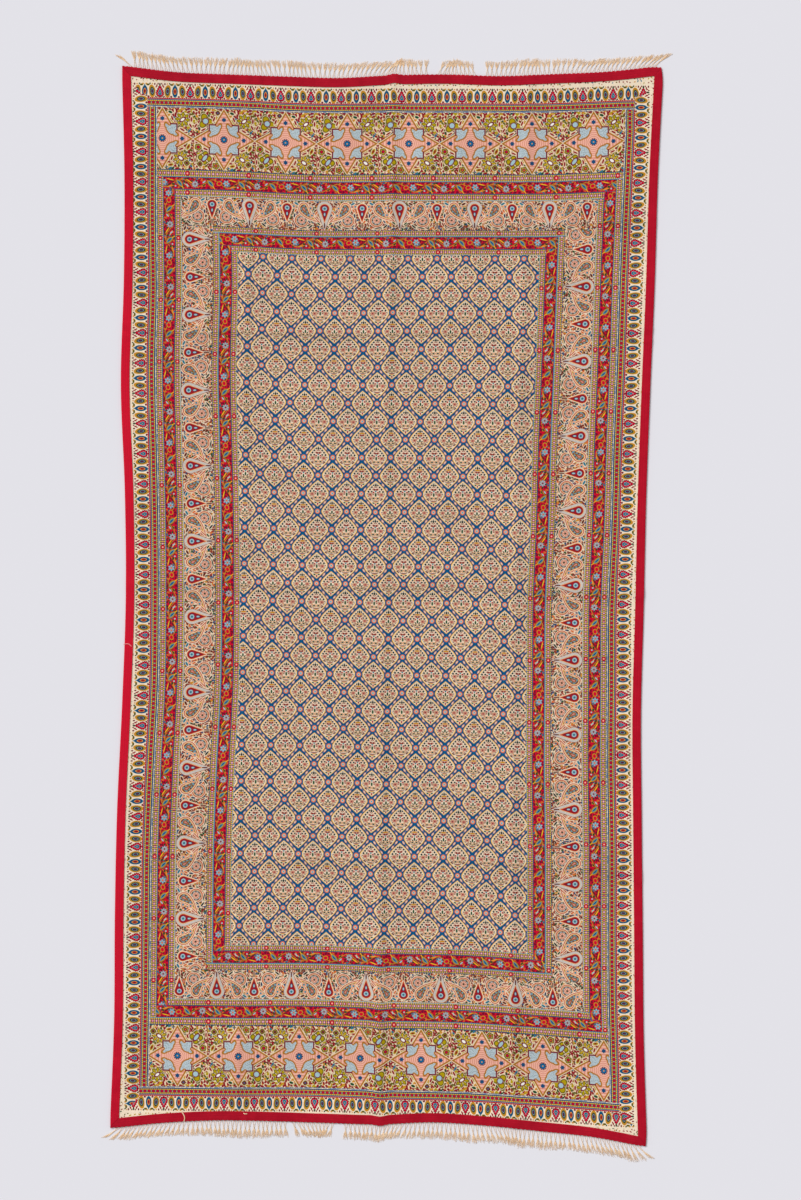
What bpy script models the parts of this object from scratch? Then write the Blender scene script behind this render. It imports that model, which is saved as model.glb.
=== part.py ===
"""A block-printed cotton panel laid flat on a surface, printed face up.

It is one thin sheet of cotton, a red cotton binding folded over its edge all round,
and a knotted cotton fringe sewn along each end. X runs across the panel, Y along it,
and Z up. The sheet keeps the low creases that it took while it was stored folded, and
the slightly wavy outline of a cloth that was printed, cut and bound by hand.

Places on the panel are given by two fractions: across, 0 at the left edge and 1 at the
right one, and up, 0 at the bottom end and 1 at the top one.
"""
import math
from collections import namedtuple

import bmesh
import bpy
import numpy as np

# Nominal size of the bound cloth, and the thicknesses of its pieces, in metres
WIDTH = 1.018
LENGTH = 2.020
CLOTH_THICKNESS = 0.0012
TAPE_THICKNESS = 0.0010
GAP = 0.0003

# The binding: how far it reaches in over the face and over the back, in metres
FACE_LEG = 0.015
BACK_LEG = 0.012
EDGE_CLEARANCE = 0.0005
MITRE_GAP = 0.0003

# The sheet lies on the back leg near its edge and comes down to the surface beyond it
SHEET_INSET = TAPE_THICKNESS + EDGE_CLEARANCE
RIM_INSET = 0.016
REST_INSET = 0.040
RIM_LIFT = TAPE_THICKNESS + GAP
FACE_LEG_UNDERSIDE = RIM_LIFT + CLOTH_THICKNESS + GAP

# The outline of the bound edge, in metres, in eleven even steps from 0 to 1
SideStep = namedtuple("SideStep", "left right")
SIDE_STEPS = [
    SideStep(left=-0.5254, right=0.4950),
    SideStep(left=-0.5174, right=0.4887),
    SideStep(left=-0.5159, right=0.4868),
    SideStep(left=-0.5115, right=0.4849),
    SideStep(left=-0.5020, right=0.4834),
    SideStep(left=-0.4951, right=0.4887),
    SideStep(left=-0.4970, right=0.4934),
    SideStep(left=-0.5045, right=0.5010),
    SideStep(left=-0.4988, right=0.5096),
    SideStep(left=-0.4978, right=0.5159),
    SideStep(left=-0.5026, right=0.5267),
]
EndStep = namedtuple("EndStep", "bottom top")
END_STEPS = [
    EndStep(bottom=-0.9899, top=1.0260),
    EndStep(bottom=-0.9793, top=1.0135),
    EndStep(bottom=-0.9747, top=1.0089),
    EndStep(bottom=-0.9762, top=1.0051),
    EndStep(bottom=-0.9795, top=1.0023),
    EndStep(bottom=-0.9823, top=1.0074),
    EndStep(bottom=-0.9785, top=1.0089),
    EndStep(bottom=-0.9848, top=1.0059),
    EndStep(bottom=-0.9952, top=1.0097),
    EndStep(bottom=-1.0064, top=1.0146),
    EndStep(bottom=-1.0260, top=1.0260),
]

# Corners are worn round: how far each is drawn in, over a reach along both edges
Corner = namedtuple("Corner", "across up drawn_in")
CORNERS = [
    Corner(across=0, up=1, drawn_in=0.0008),
    Corner(across=1, up=1, drawn_in=0.0044),
    Corner(across=0, up=0, drawn_in=0.0010),
    Corner(across=1, up=0, drawn_in=0.0025),
]
CORNER_REACH = 0.040

# The storage creases: a ridge stands up, a valley lies down between two low humps
Fold = namedtuple("Fold", "at height half_width valley")
FOLDS_ALONG = [
    Fold(at=0.243, height=0.0022, half_width=0.020, valley=True),
    Fold(at=0.503, height=0.0040, half_width=0.018, valley=False),
    Fold(at=0.756, height=0.0034, half_width=0.017, valley=False),
]
FOLDS_ACROSS = [
    Fold(at=0.250, height=0.0020, half_width=0.020, valley=False),
    Fold(at=0.512, height=0.0030, half_width=0.020, valley=False),
    Fold(at=0.751, height=0.0020, half_width=0.022, valley=True),
    Fold(at=0.856, height=0.0016, half_width=0.020, valley=False),
]
FOLD_LIFT_AT_EDGE = 0.45
FOLD_FADE = 0.090
FOLD_UNEVENNESS = 0.20
FOLD_WAVE_UP = 9.0
FOLD_WAVE_ACROSS = 7.0
FOLD_PHASE = 25.0

# Plain lines of the sheet between its creases, as fractions
PLAIN_ACROSS = [0.10, 0.17, 0.34, 0.42, 0.60, 0.67, 0.84, 0.91]
PLAIN_UP = [0.07, 0.13, 0.19, 0.32, 0.38, 0.45, 0.58, 0.64, 0.70, 0.80, 0.93]

# Both ends stand out a little where the middle crease crosses them
MIDDLE_POINT = 0.0028

# The fringe: a heading strip just outside the binding, with tapered locks
LOCKS_PER_END = 120
HEADING_WIDTH = 0.0020
HEADING_HEIGHT = 0.0010
HEADING_INSET = 0.017
LOCK_SPACE = 0.0006
LOCK_ROOT_WIDTH = 0.0020
LockStage = namedtuple("LockStage", "reach width height")
LOCK_STAGES = [
    LockStage(reach=0.38, width=0.0025, height=0.0018),
    LockStage(reach=1.00, width=0.0032, height=0.0009),
]

# How the locks lie along each end: length, and sideways lean of the tips, in metres
LockRow = namedtuple("LockRow", "across length lean")
TOP_LOCKS = [
    LockRow(across=0.017, length=0.022, lean=-0.0247),
    LockRow(across=0.026, length=0.033, lean=-0.001),
    LockRow(across=0.050, length=0.031, lean=-0.006),
    LockRow(across=0.100, length=0.029, lean=-0.010),
    LockRow(across=0.155, length=0.030, lean=0.001),
    LockRow(across=0.200, length=0.030, lean=0.006),
    LockRow(across=0.270, length=0.028, lean=-0.010),
    LockRow(across=0.310, length=0.031, lean=0.000),
    LockRow(across=0.345, length=0.028, lean=-0.007),
    LockRow(across=0.385, length=0.028, lean=0.004),
    LockRow(across=0.490, length=0.027, lean=0.018),
    LockRow(across=0.515, length=0.029, lean=0.001),
    LockRow(across=0.550, length=0.028, lean=-0.005),
    LockRow(across=0.590, length=0.024, lean=0.014),
    LockRow(across=0.620, length=0.029, lean=-0.004),
    LockRow(across=0.650, length=0.026, lean=-0.008),
    LockRow(across=0.690, length=0.027, lean=0.002),
    LockRow(across=0.740, length=0.031, lean=0.008),
    LockRow(across=0.775, length=0.029, lean=-0.004),
    LockRow(across=0.850, length=0.026, lean=0.014),
    LockRow(across=0.910, length=0.025, lean=0.008),
    LockRow(across=0.983, length=0.025, lean=0.029),
]
BOTTOM_LOCKS = [
    LockRow(across=0.017, length=0.020, lean=-0.029),
    LockRow(across=0.030, length=0.026, lean=-0.016),
    LockRow(across=0.100, length=0.026, lean=-0.013),
    LockRow(across=0.170, length=0.027, lean=0.002),
    LockRow(across=0.240, length=0.032, lean=-0.002),
    LockRow(across=0.320, length=0.029, lean=0.001),
    LockRow(across=0.350, length=0.026, lean=0.013),
    LockRow(across=0.380, length=0.028, lean=0.008),
    LockRow(across=0.410, length=0.026, lean=-0.010),
    LockRow(across=0.450, length=0.029, lean=0.003),
    LockRow(across=0.500, length=0.031, lean=-0.004),
    LockRow(across=0.535, length=0.028, lean=-0.013),
    LockRow(across=0.580, length=0.029, lean=-0.003),
    LockRow(across=0.670, length=0.034, lean=0.002),
    LockRow(across=0.725, length=0.030, lean=0.012),
    LockRow(across=0.760, length=0.034, lean=-0.002),
    LockRow(across=0.840, length=0.031, lean=0.001),
    LockRow(across=0.920, length=0.031, lean=0.012),
    LockRow(across=0.965, length=0.034, lean=0.012),
    LockRow(across=0.983, length=0.026, lean=0.0275),
]
LOCK_BEND = 1.3
LOCK_JITTER = 0.0013
LOCK_SEED = 23

# Worn places where the fringe has come away, as fractions across
BareSpan = namedtuple("BareSpan", "start stop")
BARE_TOP = [BareSpan(0.561, 0.582), BareSpan(0.658, 0.673)]
BARE_BOTTOM = [BareSpan(0.328, 0.341), BareSpan(0.417, 0.438)]

CREAM = (0.83, 0.70, 0.52)
RED = (0.47, 0.004, 0.024)
PEACH = (0.86, 0.68, 0.48)


def clear_scene():
    """Remove every object, so that the file can be run again from the text editor."""
    for old in list(bpy.data.objects):
        bpy.data.objects.remove(old, do_unlink=True)


def cotton(name, colour, roughness):
    """A matt cotton colour for one piece."""
    material = bpy.data.materials.new(name)
    material.use_nodes = True
    shader = material.node_tree.nodes["Principled BSDF"]
    shader.inputs["Base Color"].default_value = (*colour, 1.0)
    shader.inputs["Roughness"].default_value = roughness
    shader.inputs["Metallic"].default_value = 0.0
    material.diffuse_color = (*colour, 1.0)
    return material


def smooth_steps(values, fraction):
    """Read a table of even steps as one smooth line (Catmull-Rom), at any fraction."""
    values = np.asarray(values, dtype=float)
    padded = np.concatenate(([2 * values[0] - values[1]], values, [2 * values[-1] - values[-2]]))
    place = np.clip(np.asarray(fraction, dtype=float), 0.0, 1.0) * (len(values) - 1)
    step = np.minimum(place.astype(int), len(values) - 2)
    t = place - step
    before, start, stop, after = (padded[step + k] for k in range(4))
    return 0.5 * (2 * start + (stop - before) * t
                  + (2 * before - 5 * start + 4 * stop - after) * t ** 2
                  + (3 * start - before - 3 * stop + after) * t ** 3)


def grid_lines(folds, plain, size):
    """Fractions of the sheet's lines: its rims, five to each crease, and the plain ones."""
    rims = [SHEET_INSET / size, RIM_INSET / size, REST_INSET / size]
    lines = rims + [1 - rim for rim in rims] + plain
    for fold in folds:
        reach = fold.half_width / size
        lines += [fold.at + reach * part for part in (-1.0, -0.5, 0.0, 0.5, 1.0)]
    return np.array(sorted(lines))


ACROSS_LINES = grid_lines(FOLDS_ALONG, PLAIN_ACROSS, WIDTH)
UP_LINES = grid_lines(FOLDS_ACROSS, PLAIN_UP, LENGTH)


def place(across, up):
    """X and Y of a point of the panel: straight steps between the grid lines of each edge."""
    across, up = np.broadcast_arrays(np.asarray(across, float), np.asarray(up, float))
    up_lines = np.concatenate(([0.0], UP_LINES, [1.0]))
    across_lines = np.concatenate(([0.0], ACROSS_LINES, [1.0]))
    left = np.interp(up, up_lines, smooth_steps([row.left for row in SIDE_STEPS], up_lines))
    right = np.interp(up, up_lines, smooth_steps([row.right for row in SIDE_STEPS], up_lines))
    bottom = np.interp(across, across_lines,
                       smooth_steps([row.bottom for row in END_STEPS], across_lines))
    top = np.interp(across, across_lines,
                    smooth_steps([row.top for row in END_STEPS], across_lines))
    middle = FOLDS_ALONG[1]
    at_middle = np.clip(1 - np.abs(across - middle.at) * WIDTH / middle.half_width, 0, 1)
    x = left + (right - left) * across
    y = bottom + (top - bottom) * up + MIDDLE_POINT * at_middle * (2 * up - 1)
    for corner in CORNERS:
        away = np.abs(across - corner.across) * WIDTH + np.abs(up - corner.up) * LENGTH
        pull = corner.drawn_in * np.clip(1 - away / CORNER_REACH, 0, 1) ** 2
        x = x + pull * (1 - 2 * corner.across)
        y = y + pull * (1 - 2 * corner.up)
    return x, y


def crease(distance, fold):
    """Height of one crease at a distance from its line, from 0 to 1."""
    part = np.clip(np.abs(distance) / fold.half_width, 0, 1)
    if fold.valley:
        return np.sin(math.pi * part) ** 2
    return 0.5 * (1 + np.cos(math.pi * part))


def fold_height(across, up):
    """Height of the creases above the surface, exactly 0 between them."""
    height = np.zeros(np.broadcast(across, up).shape)
    to_side = np.minimum(across, 1 - across) * WIDTH - RIM_INSET
    to_end = np.minimum(up, 1 - up) * LENGTH - RIM_INSET
    at_side = FOLD_LIFT_AT_EDGE + (1 - FOLD_LIFT_AT_EDGE) * np.clip(to_side / FOLD_FADE, 0, 1)
    at_end = FOLD_LIFT_AT_EDGE + (1 - FOLD_LIFT_AT_EDGE) * np.clip(to_end / FOLD_FADE, 0, 1)
    for fold in FOLDS_ALONG:
        wave = np.sin(FOLD_WAVE_UP * up + FOLD_PHASE * fold.at)
        uneven = 1 - FOLD_UNEVENNESS * (1 - wave)
        rise = fold.height * uneven * at_end * crease((across - fold.at) * WIDTH, fold)
        height = np.maximum(height, rise)
    for fold in FOLDS_ACROSS:
        wave = np.sin(FOLD_WAVE_ACROSS * across + FOLD_PHASE * fold.at)
        uneven = 1 - FOLD_UNEVENNESS * (1 - wave)
        rise = fold.height * uneven * at_side * crease((up - fold.at) * LENGTH, fold)
        height = np.maximum(height, rise)
    return height


def surface_object(name, x, y, z, thickness, material, collection):
    """An open grid surface that Solidify makes a closed sheet, growing along its normals."""
    rows, columns = x.shape
    points = np.stack([x, y, z], axis=-1).reshape(-1, 3)
    corner = np.arange(rows * columns).reshape(rows, columns)
    faces = np.stack([corner[:-1, :-1], corner[:-1, 1:], corner[1:, 1:], corner[1:, :-1]], axis=-1)
    mesh = bpy.data.meshes.new(name)
    mesh.from_pydata(points.tolist(), [], faces.reshape(-1, 4).tolist())
    mesh.materials.append(material)
    sheet = bpy.data.objects.new(name, mesh)
    collection.objects.link(sheet)
    solid = sheet.modifiers.new("thickness", "SOLIDIFY")
    solid.thickness = thickness
    solid.offset = 1.0
    solid.use_even_offset = True
    return sheet


def make_cloth(collection):
    """The printed sheet: its underside is the grid surface, and it is solid above that."""
    across, up = np.meshgrid(ACROSS_LINES, UP_LINES)
    x, y = place(across, up)
    inset = np.minimum(np.minimum(across, 1 - across) * WIDTH, np.minimum(up, 1 - up) * LENGTH)
    on_back_leg = RIM_LIFT * np.clip((REST_INSET - inset) / (REST_INSET - RIM_INSET), 0, 1)
    z = on_back_leg + fold_height(across, up)
    return surface_object("cloth", x, y, z, CLOTH_THICKNESS, cotton("printed cotton", CREAM, 0.85),
                          collection)


def make_binding(name, side, collection, material):
    """One edge's length of the red tape: a U folded over the sheet, mitred at both ends.

    The modelled surface is the inside of the U, from the back leg round the edge to the
    face leg, and Solidify adds the tape outside it.
    """
    inset = np.array([BACK_LEG, TAPE_THICKNESS, TAPE_THICKNESS, FACE_LEG])
    level = np.array([TAPE_THICKNESS, TAPE_THICKNESS, FACE_LEG_UNDERSIDE, FACE_LEG_UNDERSIDE])
    upright = side in ("left", "right")
    lines = UP_LINES if upright else ACROSS_LINES
    run_size, cross_size = (LENGTH, WIDTH) if upright else (WIDTH, LENGTH)
    run = np.repeat(lines[:, None], len(inset), axis=1)
    run[0] = (inset + MITRE_GAP) / run_size
    run[-1] = 1 - run[0]
    cross = np.broadcast_to(inset / cross_size, run.shape)
    if side in ("right", "top"):
        cross = 1 - cross
    across, up = (cross, run) if upright else (run, cross)
    if side in ("right", "bottom"):
        across, up = across[:, ::-1], up[:, ::-1]
        level = level[::-1]
    x, y = place(across, up)
    z = level + fold_height(across, up)
    return surface_object(name, x, y, z, TAPE_THICKNESS, material, collection)


def is_bare(across, spans):
    """Whether a lock's root falls where the fringe has come away."""
    return any(span.start < across < span.stop for span in spans)


def keep_apart(tips, least):
    """Move sorted tips along the end until each stands clear of the next one."""
    tips = tips.copy()
    for index in range(1, len(tips)):
        short = least - (tips[index] - tips[index - 1])
        if short > 0:
            tips[index - 1] -= short / 2
            tips[index] += short / 2
    for index in range(len(tips) - 2, -1, -1):
        tips[index] = min(tips[index], tips[index + 1] - least)
    return tips


def lock_shapes(rows, roots):
    """Length and sideways lean of each lock, from its table and a little chance."""
    across = [row.across for row in rows]
    chance = np.random.default_rng(LOCK_SEED)
    length = np.interp(roots, across, [row.length for row in rows])
    lean = np.interp(roots, across, [row.lean for row in rows])
    inner = (roots > across[1]) & (roots < across[-2])
    length = length + inner * chance.uniform(-LOCK_JITTER, LOCK_JITTER, len(roots))
    lean = lean + inner * chance.uniform(-LOCK_JITTER, LOCK_JITTER, len(roots))
    return length, lean


def make_fringe(name, end, rows, bare, collection, material):
    """A heading strip along one end, with every lock drawn out of a face of its outer side."""
    out = 1 if end == "top" else -1
    first, last = HEADING_INSET / WIDTH, 1 - HEADING_INSET / WIDTH
    roots = np.linspace(first, last, LOCKS_PER_END)
    half_root = 0.5 * LOCK_ROOT_WIDTH / WIDTH
    stations = np.sort(np.concatenate([roots - half_root, roots + half_root]))
    edge = 1.0 if end == "top" else 0.0
    up_inner = edge + out * GAP / LENGTH
    up_outer = edge + out * (GAP + HEADING_WIDTH) / LENGTH
    inner_x, inner_y = place(stations, up_inner)
    outer_x, outer_y = place(stations, up_outer)

    lengths, leans = lock_shapes(rows, roots)
    root_x = 0.5 * (outer_x[0::2] + outer_x[1::2])
    tip_width = LOCK_STAGES[-1].width
    tips = keep_apart(root_x + leans, tip_width + LOCK_SPACE)

    sheet = bmesh.new()
    rings = []
    for inner, outer in zip(zip(inner_x, inner_y), zip(outer_x, outer_y)):
        rings.append([sheet.verts.new((*inner, 0.0)), sheet.verts.new((*outer, 0.0)),
                      sheet.verts.new((*outer, HEADING_HEIGHT)),
                      sheet.verts.new((*inner, HEADING_HEIGHT))])
    sheet.faces.new(rings[0])
    sheet.faces.new(rings[-1][::-1])
    root_faces = []
    for index, (ring, following) in enumerate(zip(rings, rings[1:])):
        for side in range(4):
            around = (side + 1) % 4
            face = sheet.faces.new((ring[side], following[side], following[around], ring[around]))
            if side == 1 and index % 2 == 0:
                root_faces.append(face)

    for face, start, tip, length, across in zip(root_faces, root_x, tips, lengths, roots):
        if is_bare(across, bare):
            continue
        foot = np.mean([vert.co.y for vert in face.verts])
        left_first = sorted(face.verts, key=lambda vert: vert.co.x)
        lefts = set(left_first[:2])
        for stage in LOCK_STAGES:
            kept = {vert: (vert in lefts, vert.co.z > 0) for vert in face.verts}
            order = [kept[vert] for vert in face.verts]
            face = bmesh.ops.extrude_discrete_faces(sheet, faces=[face])["faces"][0]
            middle = start + (tip - start) * stage.reach ** LOCK_BEND
            lefts = set()
            for vert, (is_left, is_high) in zip(face.verts, order):
                vert.co.x = middle + stage.width * (-0.5 if is_left else 0.5)
                vert.co.y = foot + out * length * stage.reach
                vert.co.z = stage.height if is_high else 0.0
                if is_left:
                    lefts.add(vert)
    bmesh.ops.recalc_face_normals(sheet, faces=sheet.faces)
    mesh = bpy.data.meshes.new(name)
    sheet.to_mesh(mesh)
    sheet.free()
    mesh.materials.append(material)
    fringe = bpy.data.objects.new(name, mesh)
    collection.objects.link(fringe)
    return fringe


def centre_on_origin(objects):
    """Move the meshes so that the whole panel's box is centred on the origin, seen from above."""
    bpy.context.view_layer.update()
    depsgraph = bpy.context.evaluated_depsgraph_get()
    corners = []
    for piece in objects:
        solid = piece.evaluated_get(depsgraph).to_mesh()
        points = np.array([vert.co for vert in solid.vertices])
        corners += [points.min(axis=0), points.max(axis=0)]
    lowest, highest = np.min(corners, axis=0), np.max(corners, axis=0)
    middle = (lowest + highest) / 2
    for piece in objects:
        for vert in piece.data.vertices:
            vert.co.x -= middle[0]
            vert.co.y -= middle[1]


def main():
    clear_scene()
    panel = bpy.data.collections.new("printed cotton panel")
    bpy.context.scene.collection.children.link(panel)
    red_tape = cotton("red cotton tape", RED, 0.80)
    fringe_cotton = cotton("fringe cotton", PEACH, 0.88)
    pieces = [make_cloth(panel)]
    for side in ("left", "right", "top", "bottom"):
        pieces.append(make_binding("binding_" + side, side, panel, red_tape))
    for end, rows, bare in (("top", TOP_LOCKS, BARE_TOP), ("bottom", BOTTOM_LOCKS, BARE_BOTTOM)):
        pieces.append(make_fringe("fringe_" + end, end, rows, bare, panel, fringe_cotton))
    centre_on_origin(pieces)


main()
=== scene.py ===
"""Looks of the block-printed cotton panel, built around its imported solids.

Metres, +Z up, X across the panel and Y along it. The printed designs are drawn by shader
nodes in millimetres of cloth: every band of the print has a place along it and across it,
and each motif is a formula of those two numbers.
"""
import math
from collections import namedtuple

import bpy
import numpy as np
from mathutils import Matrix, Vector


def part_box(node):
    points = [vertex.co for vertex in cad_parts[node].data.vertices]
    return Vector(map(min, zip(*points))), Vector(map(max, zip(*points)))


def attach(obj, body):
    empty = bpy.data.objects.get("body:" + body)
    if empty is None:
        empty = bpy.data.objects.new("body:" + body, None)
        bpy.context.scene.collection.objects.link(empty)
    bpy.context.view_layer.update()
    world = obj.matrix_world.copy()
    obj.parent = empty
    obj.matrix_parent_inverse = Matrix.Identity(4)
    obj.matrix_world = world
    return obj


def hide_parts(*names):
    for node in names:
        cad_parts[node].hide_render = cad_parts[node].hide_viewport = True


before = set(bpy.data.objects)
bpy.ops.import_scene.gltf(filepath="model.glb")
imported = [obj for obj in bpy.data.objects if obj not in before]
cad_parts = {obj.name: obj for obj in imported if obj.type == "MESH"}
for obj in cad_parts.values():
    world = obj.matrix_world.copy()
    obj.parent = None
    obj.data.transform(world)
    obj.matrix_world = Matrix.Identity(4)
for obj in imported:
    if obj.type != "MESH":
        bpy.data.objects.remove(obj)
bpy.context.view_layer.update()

MM = 0.001

# Nominal size of the bound cloth, and the tape that binds it, as the solids have them
WIDTH = 1.018
LENGTH = 2.020
CLOTH_THICKNESS = 0.0012
TAPE_THICKNESS = 0.0010
GAP = 0.0003
MITRE_GAP = 0.00003
FACE_STEPS = (0.0045, 0.0080, 0.0115, 0.0145, 0.0160, 0.0168)
SHEET_INSET = 0.0015
RIM_INSET = 0.016
REST_INSET = 0.040
RIM_LIFT = TAPE_THICKNESS + GAP
TAPE_TOP = RIM_LIFT + CLOTH_THICKNESS + GAP + TAPE_THICKNESS

# The fringe pulls the end tapes outwards: how far, how much wider it leaves them, and the
# small teeth between its stitches
END_TAPE_OUTWARD = 0.0014
END_TAPE_WIDENING = 1.07
TOOTH_PITCH = 0.0083
TOOTH_DEPTH = 0.0005
TOOTH_REACH = 0.004

# The tape's section: where its back leg starts and turns, and how far its half-round nose
# bulges, as shares of the nose's height. Its runs have a station at these steps.
BACK_STEPS = (0.012, 0.007)
NOSE_POINTS = 9
OUTER_BULGE = 0.55
INNER_BULGE = 0.25
SIDE_STATION = 0.0026
END_STATION = 0.0014

# The outline of the bound edge in metres, in eleven even steps from the bottom left corner
SideStep = namedtuple("SideStep", "left right")
SIDE_STEPS = [SideStep(*row) for row in (
    (-0.5254, 0.4950), (-0.5174, 0.4887), (-0.5159, 0.4868), (-0.5115, 0.4849), (-0.5020, 0.4834),
    (-0.4951, 0.4887), (-0.4970, 0.4934), (-0.5045, 0.5010), (-0.4988, 0.5096), (-0.4978, 0.5159),
    (-0.5026, 0.5267),
)]
EndStep = namedtuple("EndStep", "bottom top")
END_STEPS = [EndStep(*row) for row in (
    (-0.9899, 1.0260), (-0.9793, 1.0135), (-0.9747, 1.0089), (-0.9762, 1.0051), (-0.9795, 1.0023),
    (-0.9823, 1.0074), (-0.9785, 1.0089), (-0.9848, 1.0059), (-0.9952, 1.0097), (-1.0064, 1.0146),
    (-1.0260, 1.0260),
)]
Corner = namedtuple("Corner", "across up drawn_in")
CORNERS = [
    Corner(0, 1, 0.0008), Corner(1, 1, 0.0044), Corner(0, 0, 0.0010), Corner(1, 0, 0.0025),
]
CORNER_REACH = 0.040

# The storage creases: a ridge stands up, a valley lies down between two low humps
Fold = namedtuple("Fold", "at height half_width valley")
FOLDS_ALONG = [
    Fold(at=0.243, height=0.0022, half_width=0.020, valley=True),
    Fold(at=0.503, height=0.0040, half_width=0.018, valley=False),
    Fold(at=0.756, height=0.0034, half_width=0.017, valley=False),
]
FOLDS_ACROSS = [
    Fold(at=0.250, height=0.0020, half_width=0.020, valley=False),
    Fold(at=0.512, height=0.0030, half_width=0.020, valley=False),
    Fold(at=0.751, height=0.0020, half_width=0.022, valley=True),
    Fold(at=0.856, height=0.0016, half_width=0.020, valley=False),
]
FOLD_LIFT_AT_EDGE = 0.45
FOLD_FADE = 0.090
FOLD_UNEVENNESS = 0.20
FOLD_WAVE_UP = 9.0
FOLD_WAVE_ACROSS = 7.0
FOLD_PHASE = 25.0
MIDDLE_POINT = 0.0028
# How far the painted shade along a crease's line reaches, in metres
CREASE_MARK = 0.0050

# The fringe: knotted pairs of threads, each ending in a soft brush. How they lie along each
# end: length, and sideways lean of the tips, in metres
TASSELS_PER_END = 120
TASSEL_INSET = 0.017
KNOT_AT = 0.50
TASSEL_BEND = 1.3
TASSEL_JITTER = 0.0013
FRINGE_SEED = 23
TasselRow = namedtuple("TasselRow", "across length lean")
TOP_TASSELS = [TasselRow(*row) for row in (
    (0.017, 0.022, -0.0247), (0.026, 0.033, -0.001), (0.050, 0.031, -0.006),
    (0.100, 0.029, -0.010), (0.155, 0.030, 0.001), (0.200, 0.030, 0.006), (0.270, 0.028, -0.010),
    (0.310, 0.031, 0.000), (0.345, 0.028, -0.007), (0.385, 0.028, 0.004), (0.490, 0.027, 0.018),
    (0.515, 0.029, 0.001), (0.550, 0.028, -0.005), (0.590, 0.024, 0.014), (0.620, 0.029, -0.004),
    (0.650, 0.026, -0.008), (0.690, 0.027, 0.002), (0.740, 0.031, 0.008), (0.775, 0.029, -0.004),
    (0.850, 0.026, 0.014), (0.910, 0.025, 0.008), (0.983, 0.025, 0.029),
)]
BOTTOM_TASSELS = [TasselRow(*row) for row in (
    (0.017, 0.020, -0.029), (0.030, 0.026, -0.016), (0.100, 0.026, -0.013), (0.170, 0.027, 0.002),
    (0.240, 0.032, -0.002), (0.320, 0.029, 0.001), (0.350, 0.026, 0.013), (0.380, 0.028, 0.008),
    (0.410, 0.026, -0.010), (0.450, 0.029, 0.003), (0.500, 0.031, -0.004), (0.535, 0.028, -0.013),
    (0.580, 0.029, -0.003), (0.670, 0.034, 0.002), (0.725, 0.030, 0.012), (0.760, 0.034, -0.002),
    (0.840, 0.031, 0.001), (0.920, 0.031, 0.012), (0.965, 0.034, 0.012), (0.983, 0.026, 0.0275),
)]

# A tassel's two threads in metres: how far they start apart and stay apart, their height
# where they leave the edge and how far they sink, and their radius
ROOT_OUT = 0.0004
THREADS_START_APART = 0.0023
THREADS_STAY_APART = 0.0003
THREAD_HEIGHT = 0.0016
THREAD_SINKS = 0.0007
THREAD_RADIUS = 0.00036
THREAD_POINTS = 6

# Its knot, with its place's jitter and half its length as shares of the tassel
KNOT_JITTER = 0.05
KNOT_HALF_LENGTH = 0.045
KNOT_HEIGHT = 0.0011
KNOT_RADIUS = 0.0010

# Its brush of strands in metres, with the jitter of their length as a share of the tassel
STRANDS = 11
STRAND_POINTS = 8
STRAND_PITCH = 0.00092
STRAND_JITTER = 0.0005
STRAND_LENGTH_JITTER = 0.12
STRAND_WAVE = 0.0005
STRAND_WAVES = (4, 9)
STRAND_HEIGHT = 0.0009
STRAND_TIP_HEIGHTS = (0.0004, 0.0016)
STRAND_RADIUS = 0.00034
STRAND_THINS = 0.00012
STRAND_SPREAD = 0.7
STRAND_SIDES = 4

# How round a knot's and a stray thread's ends are, and how far past its end a short line of
# points is carried, as a share of the tassel, so that no two points lie together
ROUNDED_TO = 0.98
PAST_THE_END = 1e-4

# Worn places where the fringe has come away, as fractions across
BareSpan = namedtuple("BareSpan", "start stop")
BARE_TOP = [BareSpan(0.561, 0.582), BareSpan(0.658, 0.673)]
BARE_BOTTOM = [BareSpan(0.328, 0.341), BareSpan(0.417, 0.438)]

# Stray ends of thread that lie on the binding, in millimetres
LOOSE_POINTS = 25
LOOSE_SIDES = 8
LooseThread = namedtuple("LooseThread", "name pink radius xs ys")
LOOSE_THREADS = [
    LooseThread("loose_thread_left", True, 0.7, (-499.6, -497.6, -490.4, -483.2),
                (-72.9, -72.6, -71.8, -77.0)),
    LooseThread("loose_thread_bottom", False, 0.9, (-389.9, -385.1, -383.2, -384.6),
                (-958.4, -965.6, -971.7, -978.9)),
    LooseThread("loose_thread_short", False, 0.8, (-271.7, -269.0, -264.1),
                (-962.4, -964.0, -963.9)),
]

# The printed bands from the outside in, in millimetres, each with its name in the print.
# Their widths are counted inwards, and the first red border's outer edge is line 0.
Band = namedtuple("Band", "design side_width end_width")
BANDS = [
    Band("outer guard", 18.4, 17.5),
    Band("star panel", 0.0, 117.8),
    Band("bead guard", 11.4, 13.7),
    Band("red border", 22.8, 23.2),
    Band("bead guard", 11.4, 12.5),
    Band("paisley border", 59.8, 57.0),
    Band("bead guard", 12.4, 11.6),
    Band("red border", 22.8, 23.6),
    Band("bead guard", 11.4, 11.2),
]
BANDS_OUTSIDE_LINE = 3
DESIGNS = ["field", "bud row", "outer guard", "star panel", "bead guard", "red border",
           "paisley border", "reverse"]

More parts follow.
